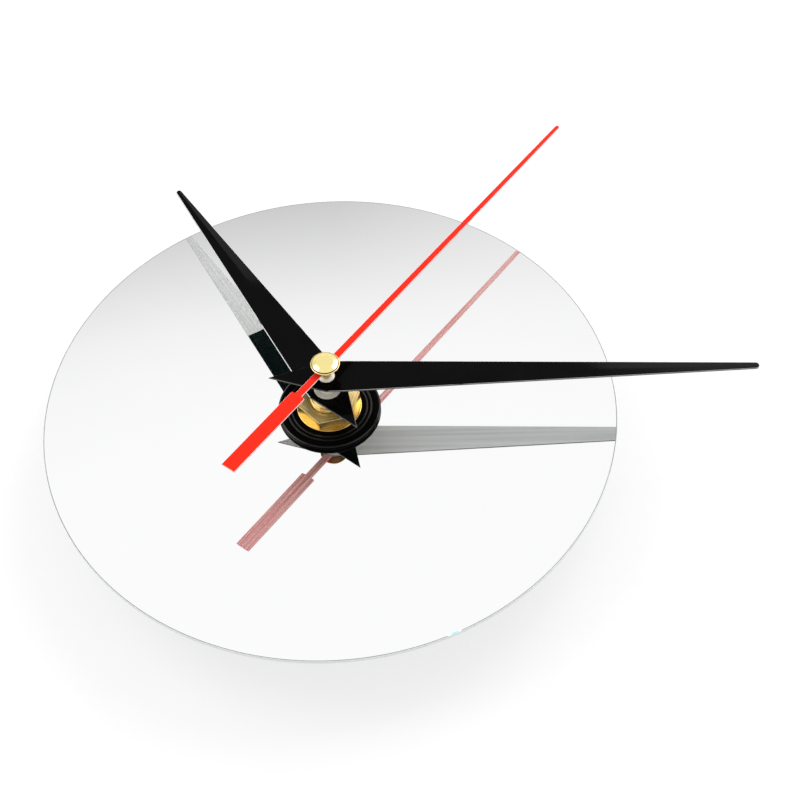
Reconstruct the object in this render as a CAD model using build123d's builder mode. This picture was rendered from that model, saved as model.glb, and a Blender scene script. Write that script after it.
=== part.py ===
from build123d import *
import os
from math import cos, radians, sin

os.makedirs("parts", exist_ok=True)

# Mirror-faced quartz clock lying on its back, all sizes in millimetres
# Z is the hand axis with zero on the flat back of the movement, +Y is 12 o'clock

# Fits and air
running_fit = 0.08
air = 0.3
stack_gap = 0.4
clutch_gap = 0.05

# Movement case
case_top = 28.0
case_corner = 3.0
wall = 1.5
front_wall = 1.4
cover_thick = 1.6
partition = 1.2
room_air = 0.4
corner_inset = 2.7
corner_post_radius = 2.1
ledge_reach = 1.2
ledge_length = 4.0
eye_radius = 2.0
eye_rim = 3.2
eye_thick = 2.6
eye_level = 1.0

# AA cell
cell_radius = 7.25
cell_length = 50.5
cell_nub_radius = 2.75
cell_nub_length = 1.4
cell_air = 0.25
contact_room = 1.25
contact_thick = 0.4
contact_side = 9.0
leaf_flat = 0.8

# Mirror and the stack that clamps it
mirror_radius = 62.5
mirror_thick = 0.8
rubber_radius = 11.2
rubber_thick = 1.2
rubber_ridge = 0.25
brass_washer_radius = 7.1
brass_washer_thick = 0.4
nut_flats = 12.0
nut_thick = 2.3
nut_corner_bearing = 4.5
bushing_radius = 4.0
bushing_rise = 5.4
bushing_flange = 5.6
bushing_flange_thick = 1.2

# Hands at the hour shown: 11:16:34, angles from +X
hour_angle = 111.72
minute_angle = -9.39
second_angle = 43.42
hand_thick = 0.4
second_thick = 0.3
hour_level = 7.1
minute_level = 11.4
second_level = 14.65
hour_length = 70.3
hour_tail = 12.4
hour_half = 4.45
hour_tip = 0.68
minute_length = 92.0
minute_tail = 12.3
minute_half = 4.05
minute_tip = 0.78
second_length = 88.5
second_tip = 0.52
second_half = 0.85
second_eye = 1.4
weight_half = 1.72
weight_near = 9.25
weight_far = 32.2
cap_radius = 3.2
cap_face = 1.9
cap_rise = 1.7

# Coaxial pipes
second_arbor_radius = 0.7
minute_pipe_radius = 1.8
hour_pipe_radius = 2.5
collet_radius = 2.94
tube_radius = 1.05

# Gear train: tooth counts, centre distances and bearings of the axes
rotor_leaves = 12
step_teeth = 60
step_leaves = 10
second_teeth = 60
second_leaves = 8
third_teeth = 60
third_leaves = 8
centre_teeth = 64
cannon_leaves = 12
motion_teeth = 36
motion_leaves = 10
hour_teeth = 40
knob_leaves = 12
rotor_distance = 7.2
step_distance = 8.75
third_distance = 10.8
motion_distance = 8.0
step_bearing = 200.0
rotor_bearing = 150.0
third_bearing = 30.0
motion_bearing = 100.0
knob_bearing = 140.0
wheel_thick = 0.8
leaf_extra = 0.2
spring_thick = 0.3
arbor_radius = 0.5
pivot_radius = 0.4
pivot_depth = 0.7
post_radius = 1.4

# Motor
magnet_radius = 2.0
magnet_thick = 1.6
stator_thick = 0.6
stator_gap = 0.5
stator_rim = 1.6
coil_length = 17.0
core_overhang = 2.0
flange_thick = 0.8
spool_radius = 1.6
core_width = 2.2
core_thick = 0.6

# Electronics and setting knob
board_length = 40.0
board_width = 9.4
board_thick = 1.0
board_level = 5.0
board_air = 0.6
board_post_inset = 4.0
chip_offset = 3.0
crystal_offset = 4.0
crystal_shift = 2.0
crystal_radius = 1.0
crystal_length = 6.0
chip_radius = 3.0
chip_thick = 0.9
knob_radius = 4.8
knob_thick = 1.3
knob_sunk = 0.2
knob_arbor_radius = 1.2
well_floor = 1.2

# Tooth shape in modules and in parts of half a pitch
wheel_addendum = 0.75
leaf_addendum = 0.85
dedendum = 1.15
wheel_root = 0.52
wheel_tip = 0.18
leaf_root = 0.36
leaf_pitch = 0.40
leaf_tip = 0.16


def polar(centre, distance, bearing):
    """Point at a distance and bearing in degrees from a centre."""
    turn = radians(bearing)
    return (centre[0] + distance * cos(turn), centre[1] + distance * sin(turn))


def tooth_points(centre, count, phase, stations):
    """Outline of a toothed ring, one tooth on the phase angle, from (radius, part of half a pitch) stations."""
    points = []
    for index in range(count):
        middle = phase + 360.0 * index / count
        for radius, share in stations:
            points.append(polar(centre, radius, middle + share * 180.0 / count))
    return points


def wheel_points(centre, count, module, phase):
    """Outline of a wheel with slim tapered teeth."""
    root = module * (count / 2 - dedendum)
    tip = module * (count / 2 + wheel_addendum)
    stations = ((root, -wheel_root), (tip, -wheel_tip), (tip, wheel_tip), (root, wheel_root))
    return tooth_points(centre, count, phase, stations)


def leaf_points(centre, count, module, phase):
    """Outline of a pinion with near-parallel leaves and pointed tips."""
    root = module * (count / 2 - dedendum)
    pitch = module * count / 2
    tip = module * (count / 2 + leaf_addendum)
    left = ((root, -leaf_root), (pitch, -leaf_pitch), (tip, -leaf_tip))
    right = ((tip, leaf_tip), (pitch, leaf_pitch), (root, leaf_root))
    return tooth_points(centre, count, phase, left + right)


def hand_plane(level, angle):
    """Plane at a height with its X along a hand."""
    turn = radians(angle)
    return Plane(origin=(0, 0, level), x_dir=(cos(turn), sin(turn), 0), z_dir=(0, 0, 1))


# Axes of the train
axis = (0.0, 0.0)
step_axis = polar(axis, step_distance, step_bearing)
rotor_axis = polar(step_axis, rotor_distance, rotor_bearing)
third_axis = polar(axis, third_distance, third_bearing)
motion_axis = polar(axis, motion_distance, motion_bearing)
rotor_module = 2 * rotor_distance / (rotor_leaves + step_teeth)
step_module = 2 * step_distance / (step_leaves + second_teeth)
second_module = 2 * third_distance / (second_leaves + third_teeth)
third_module = 2 * third_distance / (third_leaves + centre_teeth)
cannon_module = 2 * motion_distance / (cannon_leaves + motion_teeth)
hour_module = 2 * motion_distance / (motion_leaves + hour_teeth)
knob_axis = polar(motion_axis, cannon_module * (knob_leaves + motion_teeth) / 2, knob_bearing)

# Phases: each driver has a tooth on the line of centres, each mate a gap there
rotor_phase = rotor_bearing + 180.0
step_phase = rotor_bearing + 180.0 / step_teeth
step_leaf_phase = step_bearing + 180.0
second_phase = step_bearing + 180.0 / second_teeth
second_leaf_phase = third_bearing
third_phase = third_bearing + 180.0 + 180.0 / third_teeth
third_leaf_phase = third_bearing + 180.0
centre_phase = third_bearing + 180.0 / centre_teeth
cannon_phase = motion_bearing
motion_phase = motion_bearing + 180.0 + 180.0 / motion_teeth
motion_leaf_phase = motion_bearing + 180.0
hour_phase = motion_bearing + 180.0 / hour_teeth
knob_turn = (knob_bearing - motion_phase) * motion_teeth / knob_leaves
knob_phase = knob_bearing + 180.0 + 180.0 / knob_leaves + knob_turn

# Depth of the case, from the cell it holds
bay_width = 2 * (cell_radius + cell_air)
cell_level = cell_air + cell_radius
case_depth = bay_width + wall

# Levels inside the case, from the back
inner_front = case_depth - front_wall
step_low = cover_thick + stack_gap
step_high = step_low + wheel_thick
second_low = step_high + stack_gap
second_high = second_low + wheel_thick
third_low = second_high + stack_gap
third_high = third_low + wheel_thick
pipe_low = third_high + leaf_extra + air
centre_low = pipe_low + spring_thick + clutch_gap
centre_high = centre_low + wheel_thick
shoulder_low = centre_high + clutch_gap
shoulder_high = shoulder_low + wheel_thick * 0.75
motion_low = shoulder_high + stack_gap
motion_high = motion_low + wheel_thick
cannon_high = motion_high + leaf_extra
hour_low = cannon_high + stack_gap
hour_high = hour_low + wheel_thick
pivot_low = cover_thick - pivot_depth

# Levels in front of the case
mirror_front = case_depth + mirror_thick
rubber_top = mirror_front + rubber_thick
washer_top = rubber_top + brass_washer_thick
bushing_top = mirror_front + bushing_rise
hour_hand_low = mirror_front + hour_level
hour_hand_high = hour_hand_low + hand_thick
minute_hand_low = mirror_front + minute_level
minute_hand_high = minute_hand_low + hand_thick
second_hand_low = mirror_front + second_level
second_hand_high = second_hand_low + second_thick

# Radii of the nested pipes
minute_bore = second_arbor_radius + running_fit
hour_bore = minute_pipe_radius + running_fit
bushing_bore = hour_pipe_radius + running_fit
stem_hole = bushing_radius + running_fit

# Motor levels and plan
magnet_low = second_low
magnet_high = magnet_low + magnet_thick
stator_low = (magnet_low + magnet_high - stator_thick) / 2
stator_high = stator_low + stator_thick
rotor_top = magnet_high + air + pivot_depth
coil_level = stator_high + core_thick / 2
flange_radius = coil_level - cover_thick - stack_gap / 2
coil_radius = flange_radius - air
ring_radius = magnet_radius + stator_gap + stator_rim
leg_left = rotor_axis[0] - magnet_radius - stator_gap - stator_rim / 2
leg_right = rotor_axis[0] + stator_rim / 2
coil_x = rotor_axis[0] - ring_radius - air - flange_radius
coil_y = rotor_axis[1]
core_end = coil_length / 2 + core_overhang
arm_width = core_end - coil_length / 2 - air

# Plan of the case: as wide as the cell or the motor needs, with the bay below the lowest end of the motor
cell_need = cell_length + 2 * contact_room
motor_need = 2 * (flange_radius - coil_x + ledge_reach + room_air)
bay_length = max(cell_need, motor_need)
case_side = bay_length + 2 * wall
room_low = coil_y - core_end - room_air
room_high = case_top - wall
room_middle = (room_low + room_high) / 2
room_width = room_high - room_low
bay_high = room_low - partition
bay_low = bay_high - bay_width
bay_middle = (bay_low + bay_high) / 2
case_bottom = bay_low - wall
case_middle = (case_top + case_bottom) / 2
post_x = bay_length / 2 - corner_inset
corner_posts = ((-post_x, room_high - corner_inset), (post_x, room_high - corner_inset), (post_x, room_low + corner_inset))
board_middle = room_high - board_air - board_width / 2
board_post_x = board_length / 2 - board_post_inset
board_posts = ((-board_post_x, board_middle), (board_post_x, board_middle))
board_top = board_level + board_thick
eye_centre = (0, case_top + eye_rim)

# Setting knob levels
knob_low = knob_sunk
knob_high = knob_low + knob_thick
well_depth = knob_high + air
well_top = well_depth + well_floor
knob_pinion_low = motion_low - leaf_extra
knob_pinion_high = motion_high + leaf_extra
third_post_low = centre_high + leaf_extra + air
knob_post_low = knob_pinion_high + air

# Movement case: shell with gear room, cell bay, posts and hanging eye
with BuildPart() as case_front:
    with BuildSketch(Plane.XY):
        with Locations((0, case_middle)):
            RectangleRounded(case_side, case_top - case_bottom, case_corner)
    extrude(amount=case_depth)
    with BuildSketch(Plane.XY):
        with Locations((0, room_middle)):
            Rectangle(bay_length, room_width)
    extrude(amount=inner_front, mode=Mode.SUBTRACT)
    with BuildSketch(Plane.XY):
        with Locations((0, bay_middle)):
            Rectangle(bay_length, bay_width)
    extrude(amount=bay_width, mode=Mode.SUBTRACT)
    with BuildSketch(Plane.XY.offset(cover_thick)):
        with Locations(*corner_posts):
            Circle(corner_post_radius)
        with Locations((-bay_length / 2 + ledge_reach / 2, room_low + ledge_length / 2)):
            Rectangle(ledge_reach, ledge_length)
    extrude(amount=inner_front - cover_thick)
    with BuildSketch(Plane.XY.offset(board_top)):
        with Locations(*board_posts):
            Circle(post_radius)
    extrude(amount=inner_front - board_top)
    with BuildSketch(Plane.XY.offset(third_post_low)):
        with Locations(third_axis):
            Circle(post_radius)
    extrude(amount=inner_front - third_post_low)
    with BuildSketch(Plane.XY.offset(magnet_high + air)):
        with Locations(rotor_axis):
            Circle(post_radius)
    extrude(amount=inner_front - magnet_high - air)
    with BuildSketch(Plane.XY.offset(knob_post_low)):
        with Locations(knob_axis):
            Circle(post_radius)
    extrude(amount=inner_front - knob_post_low)
    with BuildSketch(Plane.XY.offset(third_post_low)):
        with Locations(third_axis):
            Circle(pivot_radius + running_fit)
    extrude(amount=pivot_depth + air, mode=Mode.SUBTRACT)
    with BuildSketch(Plane.XY.offset(magnet_high + air)):
        with Locations(rotor_axis):
            Circle(pivot_radius + running_fit)
    extrude(amount=pivot_depth + air, mode=Mode.SUBTRACT)
    with BuildSketch(Plane.XY.offset(knob_post_low)):
        with Locations(knob_axis):
            Circle(pivot_radius + running_fit)
    extrude(amount=pivot_depth + air, mode=Mode.SUBTRACT)
    with BuildSketch(Plane.XY.offset(inner_front)):
        with Locations(motion_axis):
            Circle(arbor_radius)
    extrude(amount=front_wall / 2, mode=Mode.SUBTRACT)
    with BuildSketch(Plane.XY.offset(inner_front)):
        Circle(bushing_radius)
    extrude(amount=front_wall, mode=Mode.SUBTRACT)
    with BuildSketch(Plane.XY.offset(eye_level)):
        with Locations(eye_centre):
            Circle(eye_rim + eye_radius)
        with Locations((0, case_top)):
            Rectangle(2 * (eye_rim + eye_radius), 2 * eye_rim)
        with Locations((0, room_high)):
            Rectangle(bay_length, 4 * eye_rim, align=(Align.CENTER, Align.MAX), mode=Mode.SUBTRACT)
        with Locations(eye_centre):
            Circle(eye_radius, mode=Mode.SUBTRACT)
    extrude(amount=eye_thick)
case_front.part.label = "case_front"
export_step(case_front.part, "parts/case_front.step")

# Back cover: plate over the gear room with pivot holes, stator posts and the knob well
with BuildPart() as back_cover:
    with BuildSketch(Plane.XY):
        with Locations((0, room_middle)):
            Rectangle(bay_length - 2 * running_fit, room_width - 2 * running_fit)
    extrude(amount=cover_thick)
    with BuildSketch(Plane.XY):
        with Locations(knob_axis):
            Circle(knob_radius + air + well_floor)
    extrude(amount=well_top)
    with BuildSketch(Plane.XY.offset(cover_thick)):
        with Locations((coil_x, coil_y - core_end + arm_width / 2), (coil_x, coil_y + core_end - arm_width / 2)):
            Circle(arm_width / 2)
    extrude(amount=stator_low - cover_thick)
    with BuildSketch(Plane.XY):
        with Locations(knob_axis):
            Circle(knob_radius + air)
    extrude(amount=well_depth, mode=Mode.SUBTRACT)
    with BuildSketch(Plane.XY):
        with Locations(knob_axis):
            Circle(knob_arbor_radius + running_fit)
    extrude(amount=well_top, mode=Mode.SUBTRACT)
    with BuildSketch(Plane.XY.offset(pivot_low)):
        with Locations(axis, third_axis, rotor_axis):
            Circle(pivot_radius + running_fit)
        with Locations(step_axis):
            Circle(arbor_radius)
    extrude(amount=pivot_depth, mode=Mode.SUBTRACT)
back_cover.part.label = "back_cover"
export_step(back_cover.part, "parts/back_cover.step")

# AA cell lying along X in its bay
with BuildPart() as cell:
    with BuildSketch(Plane.YZ.offset(-cell_length / 2)):
        with Locations((bay_middle, cell_level)):
            Circle(cell_radius)
    extrude(amount=cell_length - cell_nub_length)
    with BuildSketch(Plane.YZ.offset(cell_length / 2 - cell_nub_length)):
        with Locations((bay_middle, cell_level)):
            Circle(cell_nub_radius)
    extrude(amount=cell_nub_length)
cell.part.label = "cell"
export_step(cell.part, "parts/cell.step")

# Positive contact: plate on the bay wall with a dimple on the cell's nub
with BuildPart() as contact_plus:
    with BuildSketch(Plane.YZ.offset(bay_length / 2 - contact_thick)):
        with Locations((bay_middle, cell_level)):
            Rectangle(contact_side, contact_side)
    extrude(amount=contact_thick)
    with BuildSketch(Plane.YZ.offset(cell_length / 2)):
        with Locations((bay_middle, cell_level)):
            Circle(cell_nub_radius / 2)
    extrude(amount=bay_length / 2 - contact_thick - cell_length / 2)
contact_plus.part.label = "contact_plus"
export_step(contact_plus.part, "parts/contact_plus.step")

# Negative contact: plate on the other wall with a bowed leaf that presses on the cell
bay_end = -bay_length / 2
cell_end = -cell_length / 2
with BuildPart() as contact_minus:
    with BuildSketch(Plane.XZ.offset(-bay_middle - contact_side / 2)):
        with BuildLine():
            Polyline(
                (bay_end, cell_level - contact_side / 2),
                (bay_end + contact_thick, cell_level - contact_side / 2),
                (cell_end, cell_level - leaf_flat),
                (cell_end, cell_level + leaf_flat),
                (bay_end + contact_thick, cell_level + contact_side / 2),
                (bay_end, cell_level + contact_side / 2),
                (bay_end, cell_level + contact_side / 2 - contact_thick),
                (cell_end - contact_thick, cell_level + leaf_flat),
                (cell_end - contact_thick, cell_level - leaf_flat),
                (bay_end, cell_level - contact_side / 2 + contact_thick),
                close=True,
            )
        make_face()
    extrude(amount=contact_side)
contact_minus.part.label = "contact_minus"
export_step(contact_minus.part, "parts/contact_minus.step")

# Circuit board hung on two posts, with its crystal can and chip cap
with BuildPart() as board:
    with BuildSketch(Plane.XY.offset(board_level)):
        with Locations((0, board_middle)):
            Rectangle(board_length, board_width)
    extrude(amount=board_thick)
board.part.label = "board"
export_step(board.part, "parts/board.step")

with BuildPart() as crystal:
    with BuildSketch(Plane.YZ.offset(crystal_offset)):
        with Locations((board_middle + crystal_shift, board_top + crystal_radius)):
            Circle(crystal_radius)
    extrude(amount=crystal_length)
crystal.part.label = "crystal"
export_step(crystal.part, "parts/crystal.step")

with BuildPart() as chip:
    with BuildSketch(Plane.XY.offset(board_top)):
        with Locations((-chip_offset, board_middle)):
            Circle(chip_radius)
    extrude(amount=chip_thick, taper=25)
chip.part.label = "chip"
export_step(chip.part, "parts/chip.step")

# Stator: ring round the magnet, a leg each way and two arms to the ends of the coil core
arm_length = leg_right - coil_x + core_width / 2
arm_middle = (leg_right + coil_x - core_width / 2) / 2
with BuildPart() as stator:
    with BuildSketch(Plane.XY.offset(stator_low)):
        with Locations(rotor_axis):
            Circle(ring_radius)
        with Locations(((leg_left + leg_right) / 2, coil_y)):
            Rectangle(leg_right - leg_left, 2 * core_end)
        with Locations((arm_middle, coil_y + core_end - arm_width / 2), (arm_middle, coil_y - core_end + arm_width / 2)):
            Rectangle(arm_length, arm_width)
        with Locations(rotor_axis):
            Circle(magnet_radius + stator_gap, mode=Mode.SUBTRACT)
    extrude(amount=stator_thick)
stator.part.label = "stator"
export_step(stator.part, "parts/stator.step")

# Coil: flat core, spool and winding along Y
with BuildPart() as core:
    with BuildSketch(Plane.XY.offset(stator_high)):
        with Locations((coil_x, coil_y)):
            Rectangle(core_width, 2 * core_end)
    extrude(amount=core_thick)
core.part.label = "core"
export_step(core.part, "parts/core.step")

spool_plane = Plane(origin=(coil_x, coil_y - coil_length / 2, coil_level), x_dir=(1, 0, 0), z_dir=(0, 1, 0))
with BuildPart() as spool:
    with BuildSketch(spool_plane):
        Circle(flange_radius)
    extrude(amount=flange_thick)
    with BuildSketch(spool_plane):
        Circle(spool_radius)
    extrude(amount=coil_length)
    with BuildSketch(spool_plane.offset(coil_length - flange_thick)):
        Circle(flange_radius)
    extrude(amount=flange_thick)
    with BuildSketch(spool_plane):
        Rectangle(core_width, core_thick)
    extrude(amount=coil_length, mode=Mode.SUBTRACT)
spool.part.label = "spool"
export_step(spool.part, "parts/spool.step")

with BuildPart() as winding:
    with BuildSketch(spool_plane.offset(flange_thick)):
        Circle(coil_radius)
        Circle(spool_radius, mode=Mode.SUBTRACT)
    extrude(amount=coil_length - 2 * flange_thick)
winding.part.label = "winding"
export_step(winding.part, "parts/winding.step")

# Rotor: plastic arbor with pinion, and its magnet
with BuildPart() as rotor:
    with BuildSketch(Plane.XY.offset(pivot_low + running_fit)):
        with Locations(rotor_axis):
            Circle(pivot_radius)
    extrude(amount=rotor_top - pivot_low - running_fit)
    with BuildSketch(Plane.XY.offset(cover_thick + air)):
        with Locations(rotor_axis):
            Circle(arbor_radius)
    extrude(amount=magnet_high - cover_thick - air)
    with BuildSketch(Plane.XY.offset(step_low - leaf_extra / 2)):
        with BuildLine():
            Polyline(*leaf_points(rotor_axis, rotor_leaves, rotor_module, rotor_phase), close=True)
        make_face()
    extrude(amount=wheel_thick + leaf_extra)
rotor.part.label = "rotor"
export_step(rotor.part, "parts/rotor.step")

with BuildPart() as magnet:
    with BuildSketch(Plane.XY.offset(magnet_low)):
        with Locations(rotor_axis):
            Circle(magnet_radius)
            Circle(arbor_radius, mode=Mode.SUBTRACT)
    extrude(amount=magnet_thick)
magnet.part.label = "magnet"
export_step(magnet.part, "parts/magnet.step")

# Step wheel with its pinion, turning on a headed pin
step_hub_high = second_high + leaf_extra
with BuildPart() as step_wheel:
    with BuildSketch(Plane.XY.offset(step_low)):
        with BuildLine():
            Polyline(*wheel_points(step_axis, step_teeth, rotor_module, step_phase), close=True)
        make_face()
    extrude(amount=wheel_thick)
    with BuildSketch(Plane.XY.offset(step_high)):
        with BuildLine():
            Polyline(*leaf_points(step_axis, step_leaves, step_module, step_leaf_phase), close=True)
        make_face()
    extrude(amount=step_hub_high - step_high)
    with BuildSketch(Plane.XY.offset(step_low)):
        with Locations(step_axis):
            Circle(arbor_radius + running_fit)
    extrude(amount=step_hub_high - step_low, mode=Mode.SUBTRACT)
step_wheel.part.label = "step_wheel"
export_step(step_wheel.part, "parts/step_wheel.step")

with BuildPart() as step_pin:
    with BuildSketch(Plane.XY.offset(pivot_low)):
        with Locations(step_axis):
            Circle(arbor_radius)
    extrude(amount=step_hub_high + running_fit - pivot_low)
    with BuildSketch(Plane.XY.offset(step_hub_high + running_fit)):
        with Locations(step_axis):
            Circle(2 * arbor_radius)
    extrude(amount=air)
step_pin.part.label = "step_pin"
export_step(step_pin.part, "parts/step_pin.step")

# Second wheel on the second arbor, whose pinion drives the third wheel
with BuildPart() as second_wheel:
    with BuildSketch(Plane.XY.offset(second_low)):
        with BuildLine():
            Polyline(*wheel_points(axis, second_teeth, step_module, second_phase), close=True)
        make_face()
        Circle(second_arbor_radius, mode=Mode.SUBTRACT)
    extrude(amount=wheel_thick)
second_wheel.part.label = "second_wheel"
export_step(second_wheel.part, "parts/second_wheel.step")

arbor_top = second_hand_high + cap_rise / 2
with BuildPart() as second_arbor:
    with BuildSketch(Plane.XY.offset(pivot_low + running_fit)):
        Circle(pivot_radius)
    extrude(amount=pivot_depth + air)
    with BuildSketch(Plane.XY.offset(cover_thick + air)):
        Circle(second_arbor_radius)
    extrude(amount=arbor_top - cover_thick - air)
    with BuildSketch(Plane.XY.offset(second_high)):
        with BuildLine():
            Polyline(*leaf_points(axis, second_leaves, second_module, second_leaf_phase), close=True)
        make_face()
    extrude(amount=third_high + leaf_extra - second_high)
second_arbor.part.label = "second_arbor"
export_step(second_arbor.part, "parts/second_arbor.step")

# Third wheel on its arbor, whose pinion drives the centre wheel
with BuildPart() as third_wheel:
    with BuildSketch(Plane.XY.offset(third_low)):
        with BuildLine():
            Polyline(*wheel_points(third_axis, third_teeth, second_module, third_phase), close=True)
        make_face()
        with Locations(third_axis):
            Circle(arbor_radius, mode=Mode.SUBTRACT)
    extrude(amount=wheel_thick)
third_wheel.part.label = "third_wheel"
export_step(third_wheel.part, "parts/third_wheel.step")

with BuildPart() as third_arbor:
    with BuildSketch(Plane.XY.offset(pivot_low + running_fit)):
        with Locations(third_axis):
            Circle(pivot_radius)
    extrude(amount=third_post_low + pivot_depth - pivot_low - running_fit)
    with BuildSketch(Plane.XY.offset(cover_thick + air)):
        with Locations(third_axis):
            Circle(arbor_radius)
    extrude(amount=third_high - cover_thick - air)
    with BuildSketch(Plane.XY.offset(third_high)):
        with BuildLine():
            Polyline(*leaf_points(third_axis, third_leaves, third_module, third_leaf_phase), close=True)
        make_face()
    extrude(amount=centre_high + leaf_extra - third_high)
third_arbor.part.label = "third_arbor"
export_step(third_arbor.part, "parts/third_arbor.step")

# Centre wheel, held on the minute pipe by friction only
with BuildPart() as centre_wheel:
    with BuildSketch(Plane.XY.offset(centre_low)):
        with BuildLine():
            Polyline(*wheel_points(axis, centre_teeth, third_module, centre_phase), close=True)
        make_face()
        Circle(minute_pipe_radius - 2 * running_fit, mode=Mode.SUBTRACT)
    extrude(amount=wheel_thick)
centre_wheel.part.label = "centre_wheel"
export_step(centre_wheel.part, "parts/centre_wheel.step")

# Minute pipe: seat for the centre wheel, shoulder, cannon pinion and the pipe to the minute hand
seat_radius = minute_pipe_radius - 3 * running_fit
with BuildPart() as minute_pipe:
    with BuildSketch(Plane.XY.offset(pipe_low)):
        Circle(seat_radius)
    extrude(amount=shoulder_low - pipe_low)
    with BuildSketch(Plane.XY.offset(shoulder_low)):
        Circle(minute_pipe_radius * 1.5)
    extrude(amount=shoulder_high - shoulder_low)
    with BuildSketch(Plane.XY.offset(shoulder_high)):
        with BuildLine():
            Polyline(*leaf_points(axis, cannon_leaves, cannon_module, cannon_phase), close=True)
        make_face()
    extrude(amount=cannon_high - shoulder_high)
    with BuildSketch(Plane.XY.offset(shoulder_high)):
        Circle(seat_radius)
    extrude(amount=cannon_high - shoulder_high)
    with BuildSketch(Plane.XY.offset(cannon_high)):
        Circle(minute_pipe_radius)
    extrude(amount=minute_hand_high + running_fit - cannon_high)
    with BuildSketch(Plane.XY.offset(pipe_low)):
        Circle(minute_bore)
    extrude(amount=minute_hand_high + running_fit - pipe_low, mode=Mode.SUBTRACT)
minute_pipe.part.label = "minute_pipe"
export_step(minute_pipe.part, "parts/minute_pipe.step")

# Clutch spring: star washer under the centre wheel, pressed on the minute pipe
spring_radius = 2.4 * minute_pipe_radius
with BuildPart() as clutch_spring:
    with BuildSketch(Plane.XY.offset(pipe_low)):
        Circle(1.5 * minute_pipe_radius)
        with PolarLocations(0, 3):
            Rectangle(spring_radius, minute_pipe_radius, align=(Align.MIN, Align.CENTER))
        Circle(seat_radius, mode=Mode.SUBTRACT)
    extrude(amount=spring_thick)
clutch_spring.part.label = "clutch_spring"
export_step(clutch_spring.part, "parts/clutch_spring.step")

# Motion wheel with its pinion, turning on a headed pin from the front wall
motion_hub_high = hour_high + leaf_extra
with BuildPart() as motion_wheel:
    with BuildSketch(Plane.XY.offset(motion_low)):
        with BuildLine():
            Polyline(*wheel_points(motion_axis, motion_teeth, cannon_module, motion_phase), close=True)
        make_face()
    extrude(amount=wheel_thick)
    with BuildSketch(Plane.XY.offset(motion_high)):
        with BuildLine():
            Polyline(*leaf_points(motion_axis, motion_leaves, hour_module, motion_leaf_phase), close=True)
        make_face()
    extrude(amount=motion_hub_high - motion_high)
    with BuildSketch(Plane.XY.offset(motion_low)):
        with Locations(motion_axis):
            Circle(arbor_radius + running_fit)
    extrude(amount=motion_hub_high - motion_low, mode=Mode.SUBTRACT)
motion_wheel.part.label = "motion_wheel"
export_step(motion_wheel.part, "parts/motion_wheel.step")

with BuildPart() as motion_pin:
    with BuildSketch(Plane.XY.offset(motion_low - running_fit)):
        with Locations(motion_axis):
            Circle(arbor_radius)
    extrude(amount=inner_front + front_wall / 2 - motion_low + running_fit)
    with BuildSketch(Plane.XY.offset(motion_low - running_fit)):
        with Locations(motion_axis):
            Circle(2 * arbor_radius)
    extrude(amount=-air / 2)
    with BuildSketch(Plane.XY.offset(motion_hub_high + running_fit)):
        with Locations(motion_axis):
            Circle(2 * arbor_radius)
    extrude(amount=inner_front - motion_hub_high - running_fit)
motion_pin.part.label = "motion_pin"
export_step(motion_pin.part, "parts/motion_pin.step")

# Hour wheel with its pipe up through the bushing
hour_collar_high = inner_front - bushing_flange_thick - air
with BuildPart() as hour_wheel:
    with BuildSketch(Plane.XY.offset(hour_low)):
        with BuildLine():
            Polyline(*wheel_points(axis, hour_teeth, hour_module, hour_phase), close=True)
        make_face()
    extrude(amount=wheel_thick)
    with BuildSketch(Plane.XY.offset(hour_high)):
        Circle(hour_pipe_radius * 1.4)
    extrude(amount=hour_collar_high - hour_high)
    with BuildSketch(Plane.XY.offset(hour_collar_high)):
        Circle(hour_pipe_radius)
    extrude(amount=hour_hand_high + running_fit - hour_collar_high)
    with BuildSketch(Plane.XY.offset(hour_low)):
        Circle(hour_bore)
    extrude(amount=hour_hand_high + running_fit - hour_low, mode=Mode.SUBTRACT)
hour_wheel.part.label = "hour_wheel"
export_step(hour_wheel.part, "parts/hour_wheel.step")

# Setting knob in its well, with the pinion that turns the motion wheel
grip_count = 12
with BuildPart() as set_knob:
    with BuildSketch(Plane.XY.offset(knob_low)):
        with Locations(knob_axis):
            Circle(knob_radius)
            with PolarLocations(knob_radius, grip_count):
                Circle(knob_radius / grip_count, mode=Mode.SUBTRACT)
    extrude(amount=knob_thick)
    with BuildSketch(Plane.XY.offset(knob_low)):
        with Locations(knob_axis):
            Circle(knob_radius * 0.7)
            Rectangle(knob_radius * 1.2, knob_radius * 0.25, mode=Mode.SUBTRACT)
    extrude(amount=knob_thick / 2, mode=Mode.SUBTRACT)
    with BuildSketch(Plane.XY.offset(knob_high)):
        with Locations(knob_axis):
            Circle(knob_arbor_radius)
    extrude(amount=knob_pinion_high - knob_high)
    with BuildSketch(Plane.XY.offset(knob_pinion_high)):
        with Locations(knob_axis):
            Circle(pivot_radius)
    extrude(amount=air + pivot_depth)
set_knob.part.label = "set_knob"
export_step(set_knob.part, "parts/set_knob.step")

with BuildPart() as set_pinion:
    with BuildSketch(Plane.XY.offset(knob_pinion_low)):
        with BuildLine():
            Polyline(*leaf_points(knob_axis, knob_leaves, cannon_module, knob_phase), close=True)
        make_face()
        with Locations(knob_axis):
            Circle(knob_arbor_radius, mode=Mode.SUBTRACT)
    extrude(amount=knob_pinion_high - knob_pinion_low)
set_pinion.part.label = "set_pinion"
export_step(set_pinion.part, "parts/set_pinion.step")

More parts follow.
